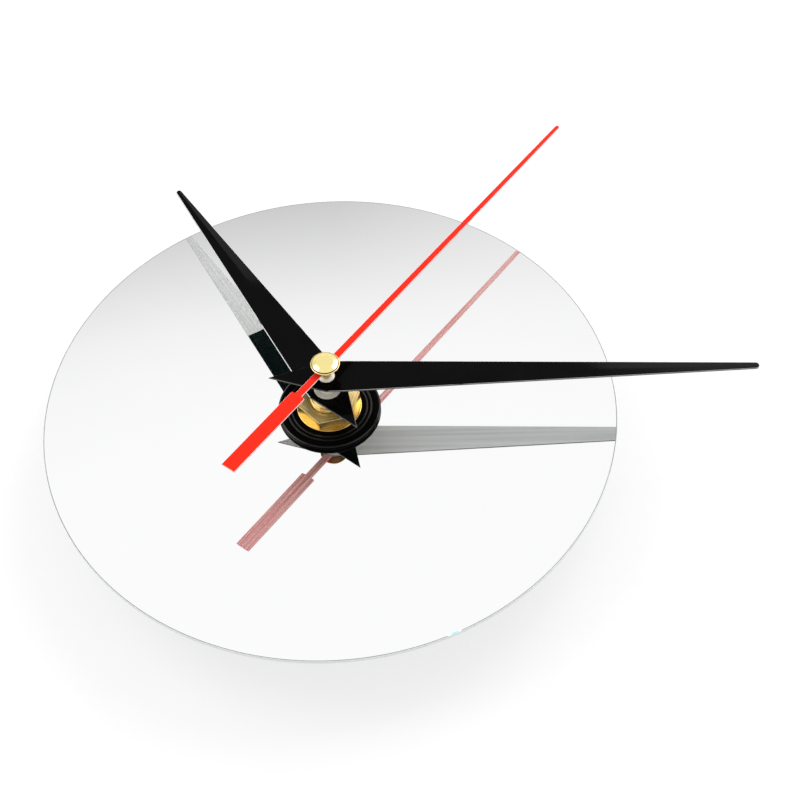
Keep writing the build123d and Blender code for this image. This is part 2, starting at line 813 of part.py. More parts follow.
# Threaded bushing, flanged inside the case
with BuildPart() as bushing:
    with BuildSketch(Plane.XY.offset(inner_front - bushing_flange_thick)):
        Circle(bushing_flange)
    extrude(amount=bushing_flange_thick)
    with BuildSketch(Plane.XY.offset(inner_front)):
        Circle(bushing_radius)
    extrude(amount=bushing_top - inner_front)
    with BuildSketch(Plane.XY.offset(inner_front - bushing_flange_thick)):
        Circle(bushing_bore)
    extrude(amount=bushing_top - inner_front + bushing_flange_thick, mode=Mode.SUBTRACT)
    chamfer(bushing.edges().filter_by(GeomType.CIRCLE).sort_by(Axis.Z)[-2:].sort_by(SortBy.RADIUS)[-1], 0.6)
bushing.part.label = "bushing"
export_step(bushing.part, "parts/bushing.step")

# Mirror disc
with BuildPart() as mirror:
    with BuildSketch(Plane.XY.offset(case_depth)):
        Circle(mirror_radius)
        Circle(stem_hole, mode=Mode.SUBTRACT)
    extrude(amount=mirror_thick)
mirror.part.label = "mirror"
export_step(mirror.part, "parts/mirror.step")

# Rubber washer with concentric ridges outside the brass washer
ridge_room = rubber_radius - brass_washer_radius
ridge_pitch = ridge_room / 3
ridge_low = rubber_top - rubber_ridge
with BuildPart() as rubber_washer:
    with BuildSketch(Plane.XY.offset(mirror_front)):
        Circle(rubber_radius)
        Circle(stem_hole, mode=Mode.SUBTRACT)
    extrude(amount=rubber_thick)
    with BuildSketch(Plane.XY.offset(ridge_low)):
        Circle(brass_washer_radius + ridge_pitch * 0.65)
        Circle(brass_washer_radius + ridge_pitch * 0.15, mode=Mode.SUBTRACT)
    extrude(amount=rubber_ridge, mode=Mode.SUBTRACT)
    with BuildSketch(Plane.XY.offset(ridge_low)):
        Circle(brass_washer_radius + ridge_pitch * 1.65)
        Circle(brass_washer_radius + ridge_pitch * 1.15, mode=Mode.SUBTRACT)
    extrude(amount=rubber_ridge, mode=Mode.SUBTRACT)
    fillet(rubber_washer.edges().filter_by(GeomType.CIRCLE).sort_by(SortBy.RADIUS)[-2:], rubber_thick * 0.35)
rubber_washer.part.label = "rubber_washer"
export_step(rubber_washer.part, "parts/rubber_washer.step")

# Brass washer and hex nut
with BuildPart() as brass_washer:
    with BuildSketch(Plane.XY.offset(rubber_top)):
        Circle(brass_washer_radius)
        Circle(stem_hole, mode=Mode.SUBTRACT)
    extrude(amount=brass_washer_thick)
brass_washer.part.label = "brass_washer"
export_step(brass_washer.part, "parts/brass_washer.step")

with BuildPart() as nut:
    with BuildSketch(Plane.XY.offset(washer_top)):
        RegularPolygon(nut_flats / 2, 6, major_radius=False, rotation=nut_corner_bearing)
        Circle(bushing_radius, mode=Mode.SUBTRACT)
    extrude(amount=nut_thick)
nut.part.label = "nut"
export_step(nut.part, "parts/nut.step")

# Hour hand and its collet
hour_end = hour_length - hour_tip
with BuildPart() as hour_hand:
    with BuildSketch(hand_plane(hour_hand_low, hour_angle)):
        with BuildLine():
            Polyline(
                (-hour_tail, 0),
                (0, hour_half),
                (hour_half, hour_half),
                (hour_end, hour_tip),
                (hour_end, -hour_tip),
                (hour_half, -hour_half),
                (0, -hour_half),
                close=True,
            )
        make_face()
        with Locations((hour_end, 0)):
            Circle(hour_tip)
        Circle(collet_radius, mode=Mode.SUBTRACT)
    extrude(amount=hand_thick)
hour_hand.part.label = "hour_hand"
export_step(hour_hand.part, "parts/hour_hand.step")

with BuildPart() as hour_collet:
    with BuildSketch(Plane.XY.offset(bushing_top + 2 * air)):
        Circle(collet_radius)
        Circle(hour_pipe_radius, mode=Mode.SUBTRACT)
    extrude(amount=hour_hand_high + running_fit - bushing_top - 2 * air)
    with BuildSketch(Plane.XY.offset(hour_hand_low)):
        Circle(collet_radius + hand_thick)
        Circle(hour_pipe_radius, mode=Mode.SUBTRACT)
    extrude(amount=-hand_thick)
hour_collet.part.label = "hour_collet"
export_step(hour_collet.part, "parts/hour_collet.step")

# Minute hand, pushed on the minute pipe
minute_end = minute_length - minute_tip
with BuildPart() as minute_hand:
    with BuildSketch(hand_plane(minute_hand_low, minute_angle)):
        with BuildLine():
            Polyline(
                (-minute_tail, 0),
                (0, minute_half),
                (minute_half, minute_half),
                (minute_end, minute_tip),
                (minute_end, -minute_tip),
                (minute_half, -minute_half),
                (0, -minute_half),
                close=True,
            )
        make_face()
        with Locations((minute_end, 0)):
            Circle(minute_tip)
        Circle(minute_pipe_radius, mode=Mode.SUBTRACT)
    extrude(amount=hand_thick)
minute_hand.part.label = "minute_hand"
export_step(minute_hand.part, "parts/minute_hand.step")

# Second hand with its counterweight, tube and press cap
second_end = second_length - second_tip
with BuildPart() as second_hand:
    with BuildSketch(hand_plane(second_hand_low, second_angle)):
        with BuildLine():
            Polyline(
                (-weight_far, weight_half),
                (-weight_near, weight_half),
                (-weight_near, second_half),
                (0, second_half),
                (second_end, second_tip),
                (second_end, -second_tip),
                (0, -second_half),
                (-weight_near, -second_half),
                (-weight_near, -weight_half),
                (-weight_far, -weight_half),
                close=True,
            )
        make_face()
        with Locations((second_end, 0)):
            Circle(second_tip)
        Circle(second_eye)
        Circle(second_arbor_radius, mode=Mode.SUBTRACT)
    extrude(amount=second_thick)
second_hand.part.label = "second_hand"
export_step(second_hand.part, "parts/second_hand.step")

with BuildPart() as second_tube:
    with BuildSketch(Plane.XY.offset(minute_hand_high + 2 * air)):
        Circle(tube_radius)
        Circle(second_arbor_radius, mode=Mode.SUBTRACT)
    extrude(amount=second_hand_low - minute_hand_high - 2 * air)
second_tube.part.label = "second_tube"
export_step(second_tube.part, "parts/second_tube.step")

cap_low = second_hand_high
cap_top = cap_low + cap_rise
with BuildPart() as second_cap:
    with BuildSketch(Plane.XZ):
        with BuildLine():
            Polyline(
                (0, arbor_top),
                (second_arbor_radius, arbor_top),
                (second_arbor_radius, cap_low),
                (second_eye, cap_low),
                (second_eye, cap_low + cap_rise * 0.35),
                (cap_radius, cap_low + cap_rise * 0.5),
                (cap_radius, cap_low + cap_rise * 0.65),
                (cap_face, cap_top),
                (0, cap_top),
                close=True,
            )
        make_face()
    revolve(axis=Axis.Z)
second_cap.part.label = "second_cap"
export_step(second_cap.part, "parts/second_cap.step")
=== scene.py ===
"""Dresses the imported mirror-faced clock: fine meshes, procedural finishes, light and camera."""

import logging
import math
from dataclasses import dataclass, field
from enum import Enum, IntEnum
from typing import Callable, Sequence

import bmesh
import bpy
from mathutils import Matrix, Vector


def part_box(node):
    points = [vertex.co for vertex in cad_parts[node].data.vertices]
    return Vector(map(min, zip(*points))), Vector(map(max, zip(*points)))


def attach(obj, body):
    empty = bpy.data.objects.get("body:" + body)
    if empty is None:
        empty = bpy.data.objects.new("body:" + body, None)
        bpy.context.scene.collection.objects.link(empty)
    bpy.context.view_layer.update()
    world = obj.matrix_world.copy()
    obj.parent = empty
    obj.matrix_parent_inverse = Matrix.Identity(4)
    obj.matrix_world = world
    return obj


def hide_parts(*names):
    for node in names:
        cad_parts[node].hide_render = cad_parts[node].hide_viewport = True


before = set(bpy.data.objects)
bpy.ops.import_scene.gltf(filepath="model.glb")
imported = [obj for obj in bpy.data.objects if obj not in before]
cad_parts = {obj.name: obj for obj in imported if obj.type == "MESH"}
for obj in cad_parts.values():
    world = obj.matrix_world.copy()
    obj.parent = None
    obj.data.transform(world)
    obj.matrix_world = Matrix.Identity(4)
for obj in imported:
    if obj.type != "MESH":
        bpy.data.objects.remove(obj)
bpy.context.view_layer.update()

MM = 0.001
UNIT = (0.0, 1.0)
ANYWHERE = (-math.inf, math.inf)
# Edges that bend by more degrees than this stay crisp, on turned and on moulded pieces.
CRISP = 32.0
CRISP_MOULD = 28.0
# Distances under which points are one, in metres: on new pieces and on copies of the solids.
WELD = 1e-7
WELD_SOLID = 1e-6

Colour = tuple[float, float, float]
Flat = tuple[float, float]
Solid = tuple[float, float, float]
Corner = tuple[float, float, float]
Rim = list[tuple[int, Flat]]
Piece = bpy.types.Object
Socket = bpy.types.NodeSocket
Painted = tuple[Socket, Socket]

log = logging.getLogger("mirror_clock")


class NodeDesk:
    """Adds nodes to one node tree and wires them."""

    def __init__(self, tree: bpy.types.NodeTree) -> None:
        """Keeps the tree to work on."""
        self.tree = tree

    def feed(self, node: bpy.types.Node, feeds: dict) -> bpy.types.Node:
        """Wires or sets a node's inputs.

        Args:
            node: the node.
            feeds: input name or number to a value or to another node's output.

        Returns:
            The same node.
        """
        for key, value in feeds.items():
            if isinstance(value, Socket):
                self.tree.links.new(value, node.inputs[key])
            else:
                node.inputs[key].default_value = value
        return node

    def node(self, kind: str, feeds: dict | None = None, **settings: object) -> bpy.types.Node:
        """Adds one node.

        Args:
            kind: Blender's node type name.
            feeds: what goes into it, as feed takes it.
            settings: plain properties of the node.

        Returns:
            The new node.
        """
        made = self.tree.nodes.new(kind)
        for key, value in settings.items():
            setattr(made, key, value)
        return self.feed(made, feeds or {})

    def give(self, kind: str, feeds: dict | None = None, key: int | str = 0, **settings: object) -> Socket:
        """Adds one node and returns its output of this name or number."""
        return self.node(kind, feeds, **settings).outputs[key]

    def math(self, operation: str, *feeds: object) -> Socket:
        """Adds a Math node and returns its output."""
        return self.give("ShaderNodeMath", dict(enumerate(feeds)), operation=operation)

    def vector(self, operation: str, *feeds: object) -> Socket:
        """Adds a Vector Math node and returns its output, a number for a length or a dot product."""
        key = "Value" if operation in ("LENGTH", "DOT_PRODUCT") else "Vector"
        return self.give("ShaderNodeVectorMath", dict(enumerate(feeds)), key, operation=operation)

    def mix(self, share: object, low: object, high: object) -> Socket:
        """Adds a colour mix.

        Args:
            share: 0 for the low colour, 1 for the high one.
            low: colour or output at 0.
            high: colour or output at 1.

        Returns:
            The mixed colour.
        """
        ends = [(*end, 1.0) if isinstance(end, tuple) else end for end in (low, high)]
        return self.give("ShaderNodeMix", {0: share, 6: ends[0], 7: ends[1]}, 2, data_type="RGBA")

    def spread(self, value: object, source: Flat, target: Flat = UNIT) -> Socket:
        """Adds a clamped Map Range from one span to another and returns its output."""
        return self.give("ShaderNodeMapRange", dict(enumerate((value, *source, *target))), clamp=True)


def new_group(name: str, kind: str, takes: dict[str, str], gives: dict[str, str]) -> NodeDesk:
    """Starts a node group with named sockets.

    Args:
        name: the group's name.
        kind: Blender's tree type name.
        takes: input name to socket kind, such as Float or Vector.
        gives: output name to socket kind.

    Returns:
        A desk on the group's tree.
    """
    tree = bpy.data.node_groups.new(name, kind)
    for way, sockets in (("INPUT", takes), ("OUTPUT", gives)):
        for key, socket in sockets.items():
            tree.interface.new_socket(key, in_out=way, socket_type=f"NodeSocket{socket}")
    return NodeDesk(tree)


@dataclass
class Painter:
    """Draws a surface pattern in a node group. Each pattern gives its tone, 0 to 1, and its height."""

    desk: NodeDesk
    place: Socket
    scale: Socket

    def noise(self, scale: object, detail: float, place: Socket | None = None, twist: float = 0.0) -> Socket:
        """Adds a noise texture, on the pattern's own place if no other is given, and returns its value."""
        feeds = {"Vector": place or self.place, "Scale": scale, "Detail": detail, "Distortion": twist}
        return self.desk.give("ShaderNodeTexNoise", feeds)

    def lines(self, reach: Socket, share: float, cloud: Flat, span: Flat) -> Painted:
        """Draws uneven lines that follow a reach, and the height on a wall, under a faint cloud.

        Args:
            reach: the distance that counts the lines.
            share: weight of the lines; the cloud has the rest.
            cloud: the cloud's scale and detail.
            span: sums that become the tone's two ends.

        Returns:
            Tone and height.
        """
        desk = self.desk
        rise = desk.give("ShaderNodeSeparateXYZ", {0: self.place}, "Z")
        along = desk.math("MULTIPLY", desk.math("ADD", reach, rise), self.scale)
        feeds = {"W": along, "Scale": 1.0, "Detail": 3.0}
        lines = desk.give("ShaderNodeTexNoise", feeds, noise_dimensions="1D")
        veil = desk.math("MULTIPLY", self.noise(*cloud), 1.0 - share)
        return desk.spread(desk.math("ADD", desk.math("MULTIPLY", lines, share), veil), span), lines

    def grain(self) -> Painted:
        """Draws a fine pebbled grain with slow mottling.

        Returns:
            Tone and height.
        """
        slow = self.noise(self.desk.math("MULTIPLY", self.scale, 0.06), 3.0)
        fine = self.noise(self.scale, 2.0)
        sums = self.desk.math("ADD", slow, self.desk.math("MULTIPLY", fine, 0.35))
        return self.desk.spread(sums, (0.45, 0.95)), fine

    def turned(self) -> Painted:
        """Draws rings round the axis, and along it on a wall."""
        flat = self.desk.vector("MULTIPLY", self.place, (1.0, 1.0, 0.0))
        return self.lines(self.desk.vector("LENGTH", flat), 0.7, (400.0, 2.0), (0.3, 0.7))

    def brushed(self) -> Painted:
        """Draws streaks along the local X.

        Returns:
            Tone and height.
        """
        drawn = self.desk.vector("MULTIPLY", self.place, (0.015, 1.0, 0.4))
        streaks = self.noise(self.scale, 4.0, drawn)
        return self.desk.spread(streaks, (0.32, 0.68)), streaks

    def filed(self) -> Painted:
        """Draws lines along the sides of a hexagon whose first flat faces the local X.

        Returns:
            Tone and height.
        """
        reach: object = 0.0
        for turn in (0.0, 60.0, 120.0):
            side = self.desk.vector("DOT_PRODUCT", self.place, (*polar(1.0, turn), 0.0))
            reach = self.desk.math("MAXIMUM", reach, self.desk.math("ABSOLUTE", side))
        return self.lines(reach, 0.65, (600.0, 3.0), (0.32, 0.68))

    def woven(self) -> Painted:
        """Draws crossed fine threads, worn unevenly.

        Returns:
            Tone and height.
        """
        desk = self.desk
        parts = desk.node("ShaderNodeSeparateXYZ", {0: self.place}).outputs
        waves = [desk.math("SINE", desk.math("MULTIPLY", parts[axis], self.scale)) for axis in "XY"]
        threads = desk.math("MAXIMUM", *waves)
        worn = self.noise(desk.math("MULTIPLY", self.scale, 0.2), 3.0)
        return desk.spread(desk.math("ADD", desk.math("MULTIPLY", threads, 0.3), worn), (0.2, 0.95)), threads

    def chipped(self) -> Painted:
        """Draws patches with crisp borders where paint has come off."""
        bare = self.desk.spread(self.noise(self.scale, 4.0), (0.3, 0.4))
        return bare, bare

    def smeared(self) -> Painted:
        """Draws slow wipe marks."""
        cloud = self.noise(self.scale, 5.0, twist=1.2)
        return self.desk.spread(cloud, (0.35, 0.75)), cloud


class Pattern(Enum):
    """Surface patterns: the node group's name and how it is drawn."""

    GRAIN = ("moulded_grain", Painter.grain)
    TURNED = ("turned_rings", Painter.turned)
    BRUSHED = ("brushed_streaks", Painter.brushed)
    WOVEN = ("woven_print", Painter.woven)
    FILED = ("filed_flats", Painter.filed)
    CHIPPED = ("chipped_paint", Painter.chipped)
    SMEARED = ("wiped_smears", Painter.smeared)

    def group(self) -> bpy.types.NodeTree:
        """Builds the pattern's node group once.

        Returns:
            The group's tree, with Scale and Angle in, Tone and Height out.
        """
        name, draw = self.value
        known = bpy.data.node_groups.get(name)
        if known:
            return known
        takes, gives = {"Scale": "Float", "Angle": "Float"}, {"Tone": "Float", "Height": "Float"}
        desk = new_group(name, "ShaderNodeTree", takes, gives)
        given = desk.node("NodeGroupInput").outputs
        place = desk.give("ShaderNodeTexCoord", key="Object")
        back = desk.math("MULTIPLY", given["Angle"], -1.0)
        turned = desk.give("ShaderNodeVectorRotate", {"Vector": place, "Angle": back}, rotation_type="Z_AXIS")
        tone, height = draw(Painter(desk, turned, given["Scale"]))
        desk.node("NodeGroupOutput", {"Tone": tone, "Height": height})
        return desk.tree


def speck_group(name: str = "dust_specks", reach: float = 0.22) -> bpy.types.NodeTree:
    """Builds the dust group once.

    Args:
        name: the group's name.
        reach: radius of the largest speck, as a share of its cell.

    Returns:
        The group's tree, with Scale and Amount in, Mask out.
    """
    known = bpy.data.node_groups.get(name)
    if known:
        return known
    desk = new_group(name, "ShaderNodeTree", {"Scale": "Float", "Amount": "Float"}, {"Mask": "Float"})
    given = desk.node("NodeGroupInput").outputs
    place = desk.give("ShaderNodeTexCoord", key="Object")
    cells = desk.node("ShaderNodeTexVoronoi", {"Vector": place, "Scale": given["Scale"]}).outputs
    pick = desk.give("ShaderNodeSeparateColor", {0: cells["Color"]})
    near = desk.math("LESS_THAN", cells["Distance"], desk.math("MULTIPLY", pick, reach))
    chosen = desk.math("LESS_THAN", pick, given["Amount"])
    desk.node("NodeGroupOutput", {"Mask": desk.math("MULTIPLY", near, chosen)})
    return desk.tree


@dataclass(frozen=True)
class Finish:
    """One procedural finish.

    colour and shade are the pattern's two ends and rough the roughness at them. scale is the pattern's
    repeats in a metre, relief the bump's depth in millimetres, specks the share of dust cells that show
    and angle the pattern's turn in degrees. With bare_metal the pattern's second end is metal.
    """

    name: str
    colour: Colour
    shade: Colour
    rough: Flat
    pattern: Pattern
    scale: float
    relief: float
    metallic: float = 0.0
    specular: float = 0.5
    specks: float = 0.0
    speck_scale: float = 420.0
    speck_colour: Colour = (0.75, 0.74, 0.7)
    angle: float = 0.0
    coat: float = 0.0
    bare_metal: bool = False

    def material(self) -> bpy.types.Material:
        """Builds the material once.

        Returns:
            The material of this name.
        """
        known = bpy.data.materials.get(self.name)
        if known:
            return known
        made = bpy.data.materials.new(self.name)
        made.use_nodes = True
        desk = NodeDesk(made.node_tree)
        feeds = {"Scale": self.scale, "Angle": math.radians(self.angle)}
        pattern = desk.node("ShaderNodeGroup", feeds, node_tree=self.pattern.group()).outputs
        tone = pattern["Tone"]
        colour = desk.mix(tone, self.colour, self.shade)
        if self.specks:
            feeds = {"Scale": self.speck_scale, "Amount": self.specks}
            dust = desk.give("ShaderNodeGroup", feeds, "Mask", node_tree=speck_group())
            colour = desk.mix(dust, colour, self.speck_colour)
        surface = {
            "Base Color": colour,
            "Roughness": desk.spread(tone, UNIT, self.rough),
            "Metallic": tone if self.bare_metal else self.metallic,
            "Specular IOR Level": self.specular,
            "Coat Weight": self.coat,
        }
        if self.relief:
            feeds = {"Height": pattern["Height"], "Distance": self.relief * MM}
            surface["Normal"] = desk.give("ShaderNodeBump", feeds)
        desk.feed(made.node_tree.nodes["Principled BSDF"], surface)
        return made


# Degrees by which the hands are turned from +X, and the nut's first corner.
HOUR_ANGLE = 111.72
MINUTE_ANGLE = -9.39
SECOND_ANGLE = 43.42
NUT_ANGLE = 4.5

# Mirror
SILVER = Finish("mirror_silver", (0.965, 0.967, 0.967), (0.955, 0.957, 0.957), (0.006, 0.012),
    Pattern.SMEARED, 30.0, 0.0, metallic=1.0)
# The cut edge is near white: painted light that the clear edge catches from the pale room.
MIRROR_EDGE_LIT = Finish("mirror_edge_painted_light", (0.95, 0.96, 0.955), (0.9, 0.925, 0.915), (0.25, 0.45),
    Pattern.TURNED, 9000.0, 0.01)
MIRROR_RIM = Finish("mirror_bare_rim", (0.26, 0.29, 0.27), (0.34, 0.37, 0.35), (0.3, 0.45),
    Pattern.GRAIN, 1500.0, 0.0, specular=0.3)
MIRROR_BACK = Finish("mirror_back_paint", (0.34, 0.35, 0.36), (0.29, 0.3, 0.31), (0.5, 0.65),
    Pattern.GRAIN, 2500.0, 0.01)
# The rim chip's shape is modelled; its pale and blue-green colours are a painted glint on the broken glass.
CHIP_GLINT_PALE = Finish("chip_pale_painted_glint", (0.96, 0.98, 0.97), (0.92, 0.96, 0.95), (0.3, 0.4),
    Pattern.GRAIN, 1500.0, 0.0)
CHIP_GLINT_CYAN = Finish("chip_cyan_painted_glint", (0.3, 0.83, 0.87), (0.5, 0.9, 0.92), (0.1, 0.2),
    Pattern.GRAIN, 2600.0, 0.002)

# Hands
LACQUER = Finish("black_lacquer", (0.0009, 0.0009, 0.0009), (0.0022, 0.0022, 0.002), (0.12, 0.2),
    Pattern.GRAIN, 1600.0, 0.003, specular=0.045, specks=0.05, speck_scale=260.0)
CUT_EDGE = Finish("cut_sheet_edge", (0.03, 0.03, 0.03), (0.88, 0.88, 0.87), (0.3, 0.36),
    Pattern.CHIPPED, 160.0, 0.0, specular=0.3, bare_metal=True)
WORN_SIDE = Finish("worn_sheet_side", (0.02, 0.02, 0.02), (0.12, 0.12, 0.117), (0.3, 0.4),
    Pattern.CHIPPED, 420.0, 0.0, specular=0.2)
RED_EDGE = Finish("cut_red_edge", (0.85, 0.05, 0.03), (0.98, 0.97, 0.96), (0.3, 0.36),
    Pattern.CHIPPED, 110.0, 0.0, specular=0.4)
HOUR_BARE = Finish("hour_hand_underside", (0.62, 0.63, 0.62), (0.77, 0.78, 0.77), (0.4, 0.5),
    Pattern.BRUSHED, 2400.0, 0.001, specular=0.2, angle=HOUR_ANGLE)
HOUR_PRIMER = Finish("hour_hand_primer", (0.0006, 0.004, 0.0036), (0.0015, 0.0066, 0.006), (0.35, 0.5),
    Pattern.GRAIN, 900.0, 0.003, specular=0.03)
MINUTE_BARE = Finish("minute_hand_underside", (0.46, 0.475, 0.47), (0.62, 0.63, 0.625), (0.4, 0.5),
    Pattern.BRUSHED, 900.0, 0.001, specular=0.2, angle=MINUTE_ANGLE)
RED_PAINT = Finish("red_lacquer", (0.95, 0.028, 0.012), (0.9, 0.025, 0.01), (0.3, 0.42),
    Pattern.GRAIN, 1500.0, 0.003, specular=0.06, specks=0.06, speck_scale=300.0)
RED_UNDER = Finish("red_hand_underside", (0.6, 0.19, 0.18), (0.88, 0.53, 0.51), (0.4, 0.55),
    Pattern.BRUSHED, 2600.0, 0.003, metallic=0.1, angle=SECOND_ANGLE)

# Gold, brass, aluminium and rubber on the hand axis
GOLD = Finish("polished_gold", (0.97, 0.83, 0.37), (0.94, 0.79, 0.33), (0.05, 0.1),
    Pattern.TURNED, 5200.0, 0.0004, metallic=1.0)
TUBE_GOLD = Finish("drawn_gold", (0.84, 0.62, 0.2), (0.58, 0.4, 0.1), (0.14, 0.22),
    Pattern.TURNED, 5200.0, 0.001, metallic=1.0)
# Darker gold for the cap's groove and underside: a duller metal, with painted shade and a painted reflection
# of the dark hands below.
SHADED_GOLD = Finish("gold_painted_shade", (0.34, 0.19, 0.1), (0.24, 0.12, 0.06), (0.3, 0.45),
    Pattern.TURNED, 5200.0, 0.001, metallic=0.7)
PALE_BRASS = Finish("satin_pale_brass", (0.95, 0.92, 0.8), (0.88, 0.84, 0.7), (0.4, 0.5),
    Pattern.TURNED, 6000.0, 0.003, metallic=0.1)
BRASS = Finish("turned_brass", (0.94, 0.77, 0.38), (0.8, 0.58, 0.2), (0.16, 0.3),
    Pattern.TURNED, 6000.0, 0.003, metallic=1.0)
WASHER_BRASS = Finish("blanked_brass", (0.86, 0.6, 0.22), (0.62, 0.38, 0.09), (0.12, 0.24),
    Pattern.TURNED, 5200.0, 0.003, metallic=1.0)
NUT_BRASS = Finish("filed_brass", (1.0, 0.88, 0.45), (0.58, 0.34, 0.06), (0.36, 0.48),
    Pattern.FILED, 2400.0, 0.012, metallic=1.0, angle=NUT_ANGLE + 30.0)
COLLET = Finish("spun_aluminium", (0.92, 0.89, 0.82), (0.78, 0.76, 0.7), (0.25, 0.4),
    Pattern.TURNED, 6000.0, 0.004, metallic=1.0)
RUBBER = Finish("black_rubber", (0.0008, 0.0008, 0.0008), (0.0022, 0.0021, 0.002), (0.3, 0.45),
    Pattern.GRAIN, 2200.0, 0.006, specular=0.015, specks=0.05, speck_scale=520.0,
    speck_colour=(0.1, 0.1, 0.095))
RUBBED = Finish("rubbed_rubber", (0.003, 0.003, 0.003), (0.006, 0.006, 0.0055), (0.16, 0.26),
    Pattern.GRAIN, 900.0, 0.004, specular=0.35)

# Movement
CASE = Finish("moulded_case", (0.016, 0.016, 0.0175), (0.028, 0.028, 0.03), (0.42, 0.58),
    Pattern.GRAIN, 5200.0, 0.02, specular=0.4, specks=0.05, speck_colour=(0.09, 0.09, 0.09))
ACETAL = Finish("moulded_acetal", (0.82, 0.8, 0.73), (0.74, 0.72, 0.65), (0.32, 0.46),
    Pattern.GRAIN, 2400.0, 0.006)
ACETAL_RED = Finish("moulded_acetal_red", (0.5, 0.085, 0.06), (0.42, 0.07, 0.05), (0.32, 0.46),
    Pattern.GRAIN, 2400.0, 0.006)
STEEL = Finish("drawn_steel", (0.58, 0.58, 0.59), (0.48, 0.48, 0.49), (0.18, 0.3),
    Pattern.TURNED, 6500.0, 0.003, metallic=1.0)
MAGNET = Finish("sintered_magnet", (0.11, 0.11, 0.115), (0.16, 0.16, 0.165), (0.4, 0.55),
    Pattern.GRAIN, 4200.0, 0.012, metallic=0.6)
COPPER = Finish("enamelled_wire", (0.78, 0.3, 0.12), (0.55, 0.19, 0.07), (0.18, 0.32),
    Pattern.BRUSHED, 5200.0, 0.03, metallic=0.9, coat=0.4)
NYLON = Finish("moulded_nylon", (0.74, 0.72, 0.66), (0.66, 0.64, 0.58), (0.4, 0.55),
    Pattern.GRAIN, 2600.0, 0.008)
BOARD = Finish("laminate_board", (0.16, 0.24, 0.07), (0.22, 0.31, 0.1), (0.3, 0.42),
    Pattern.WOVEN, 9000.0, 0.006)
EPOXY = Finish("epoxy_blob", (0.012, 0.012, 0.013), (0.022, 0.022, 0.022), (0.12, 0.22),
    Pattern.SMEARED, 320.0, 0.03)
TINNED = Finish("tinned_can", (0.74, 0.74, 0.73), (0.62, 0.62, 0.61), (0.22, 0.36),
    Pattern.BRUSHED, 4200.0, 0.004, metallic=1.0)
SLEEVE = Finish("cell_sleeve", (0.055, 0.075, 0.115), (0.075, 0.1, 0.15), (0.22, 0.34),
    Pattern.BRUSHED, 1800.0, 0.004, coat=0.3)
BAND = Finish("cell_band", (0.5, 0.51, 0.52), (0.6, 0.61, 0.62), (0.24, 0.36),
    Pattern.BRUSHED, 1800.0, 0.004, metallic=0.7, coat=0.3)
NICKEL = Finish("nickel_plate", (0.7, 0.69, 0.66), (0.6, 0.59, 0.56), (0.18, 0.32),
    Pattern.BRUSHED, 3000.0, 0.004, metallic=1.0)

# Solids that keep their own mesh, by finish
PLAIN_SOLIDS: dict[Finish, tuple[str, ...]] = {
    ACETAL: ("set_pinion", "hour_wheel", "second_wheel", "third_wheel", "centre_wheel", "motion_wheel"),
    ACETAL_RED: ("set_knob", "step_wheel", "rotor"),
    STEEL: ("stator", "core", "step_pin", "motion_pin", "second_arbor", "third_arbor"),
    NICKEL: ("contact_plus", "contact_minus", "clutch_spring"),
    PALE_BRASS: ("minute_pipe",),
    BOARD: ("board",),
    TINNED: ("crystal",),
    EPOXY: ("chip",),
    NYLON: ("spool",),
    COPPER: ("winding",),
    MAGNET: ("magnet",),
}


def polar(radius: float, degrees: float, middle: Flat = (0.0, 0.0)) -> Flat:
    """Gives the point at this distance and angle from a middle."""
    angle = math.radians(degrees)
    return middle[0] + radius * math.cos(angle), middle[1] + radius * math.sin(angle)


def add_object(name: str, data: bpy.types.ID) -> Piece:
    """Adds an object at the origin of the scene.

    Args:
        name: the object's name.
        data: its mesh, light or camera.

    Returns:
        The new object.
    """
    made = bpy.data.objects.new(name, data)
    bpy.context.scene.collection.objects.link(made)
    return made


def soften(
    corners: Sequence[Corner],
    steps: int,
    share: float = 0.48,
    hold: Flat = (0.05, 0.02),
) -> list[Flat]:
    """Rounds the corners of a closed outline, with a close point beside each arc that keeps the flats flat.

    Args:
        corners: two places and the fillet's radius at each corner, 0 to leave it sharp.
        steps: pieces in each arc.
        share: the most of an edge that one fillet takes.
        hold: distance from an arc to its close point, and the most of an edge that it takes.

    Returns:
        The rounded outline.
    """
    out: list[Flat] = []
    for index, (*spot, radius) in enumerate(corners):
        here = Vector(spot)
        if radius <= 0:
            out.append(tuple(here))
            continue
        before = Vector(corners[index - 1][:2]) - here
        after = Vector(corners[(index + 1) % len(corners)][:2]) - here
        back, ahead = before.normalized(), after.normalized()
        half = before.angle(after) / 2
        reach = min(radius / math.tan(half), share * before.length, share * after.length)
        size = reach * math.tan(half)
        middle = here + (back + ahead).normalized() * (size / math.sin(half))
        first, last = here + back * reach - middle, here + ahead * reach - middle
        far = reach + min(hold[0], hold[1] * min(before.length, after.length))
        start = math.atan2(first.y, first.x)
        turn = (math.atan2(last.y, last.x) - start + math.pi) % (2 * math.pi) - math.pi
        out.append(tuple(here + back * far))
        for step in range(steps + 1):
            angle = start + turn * step / steps
            out.append((middle.x + size * math.cos(angle), middle.y + size * math.sin(angle)))
        out.append(tuple(here + ahead * far))
    return out


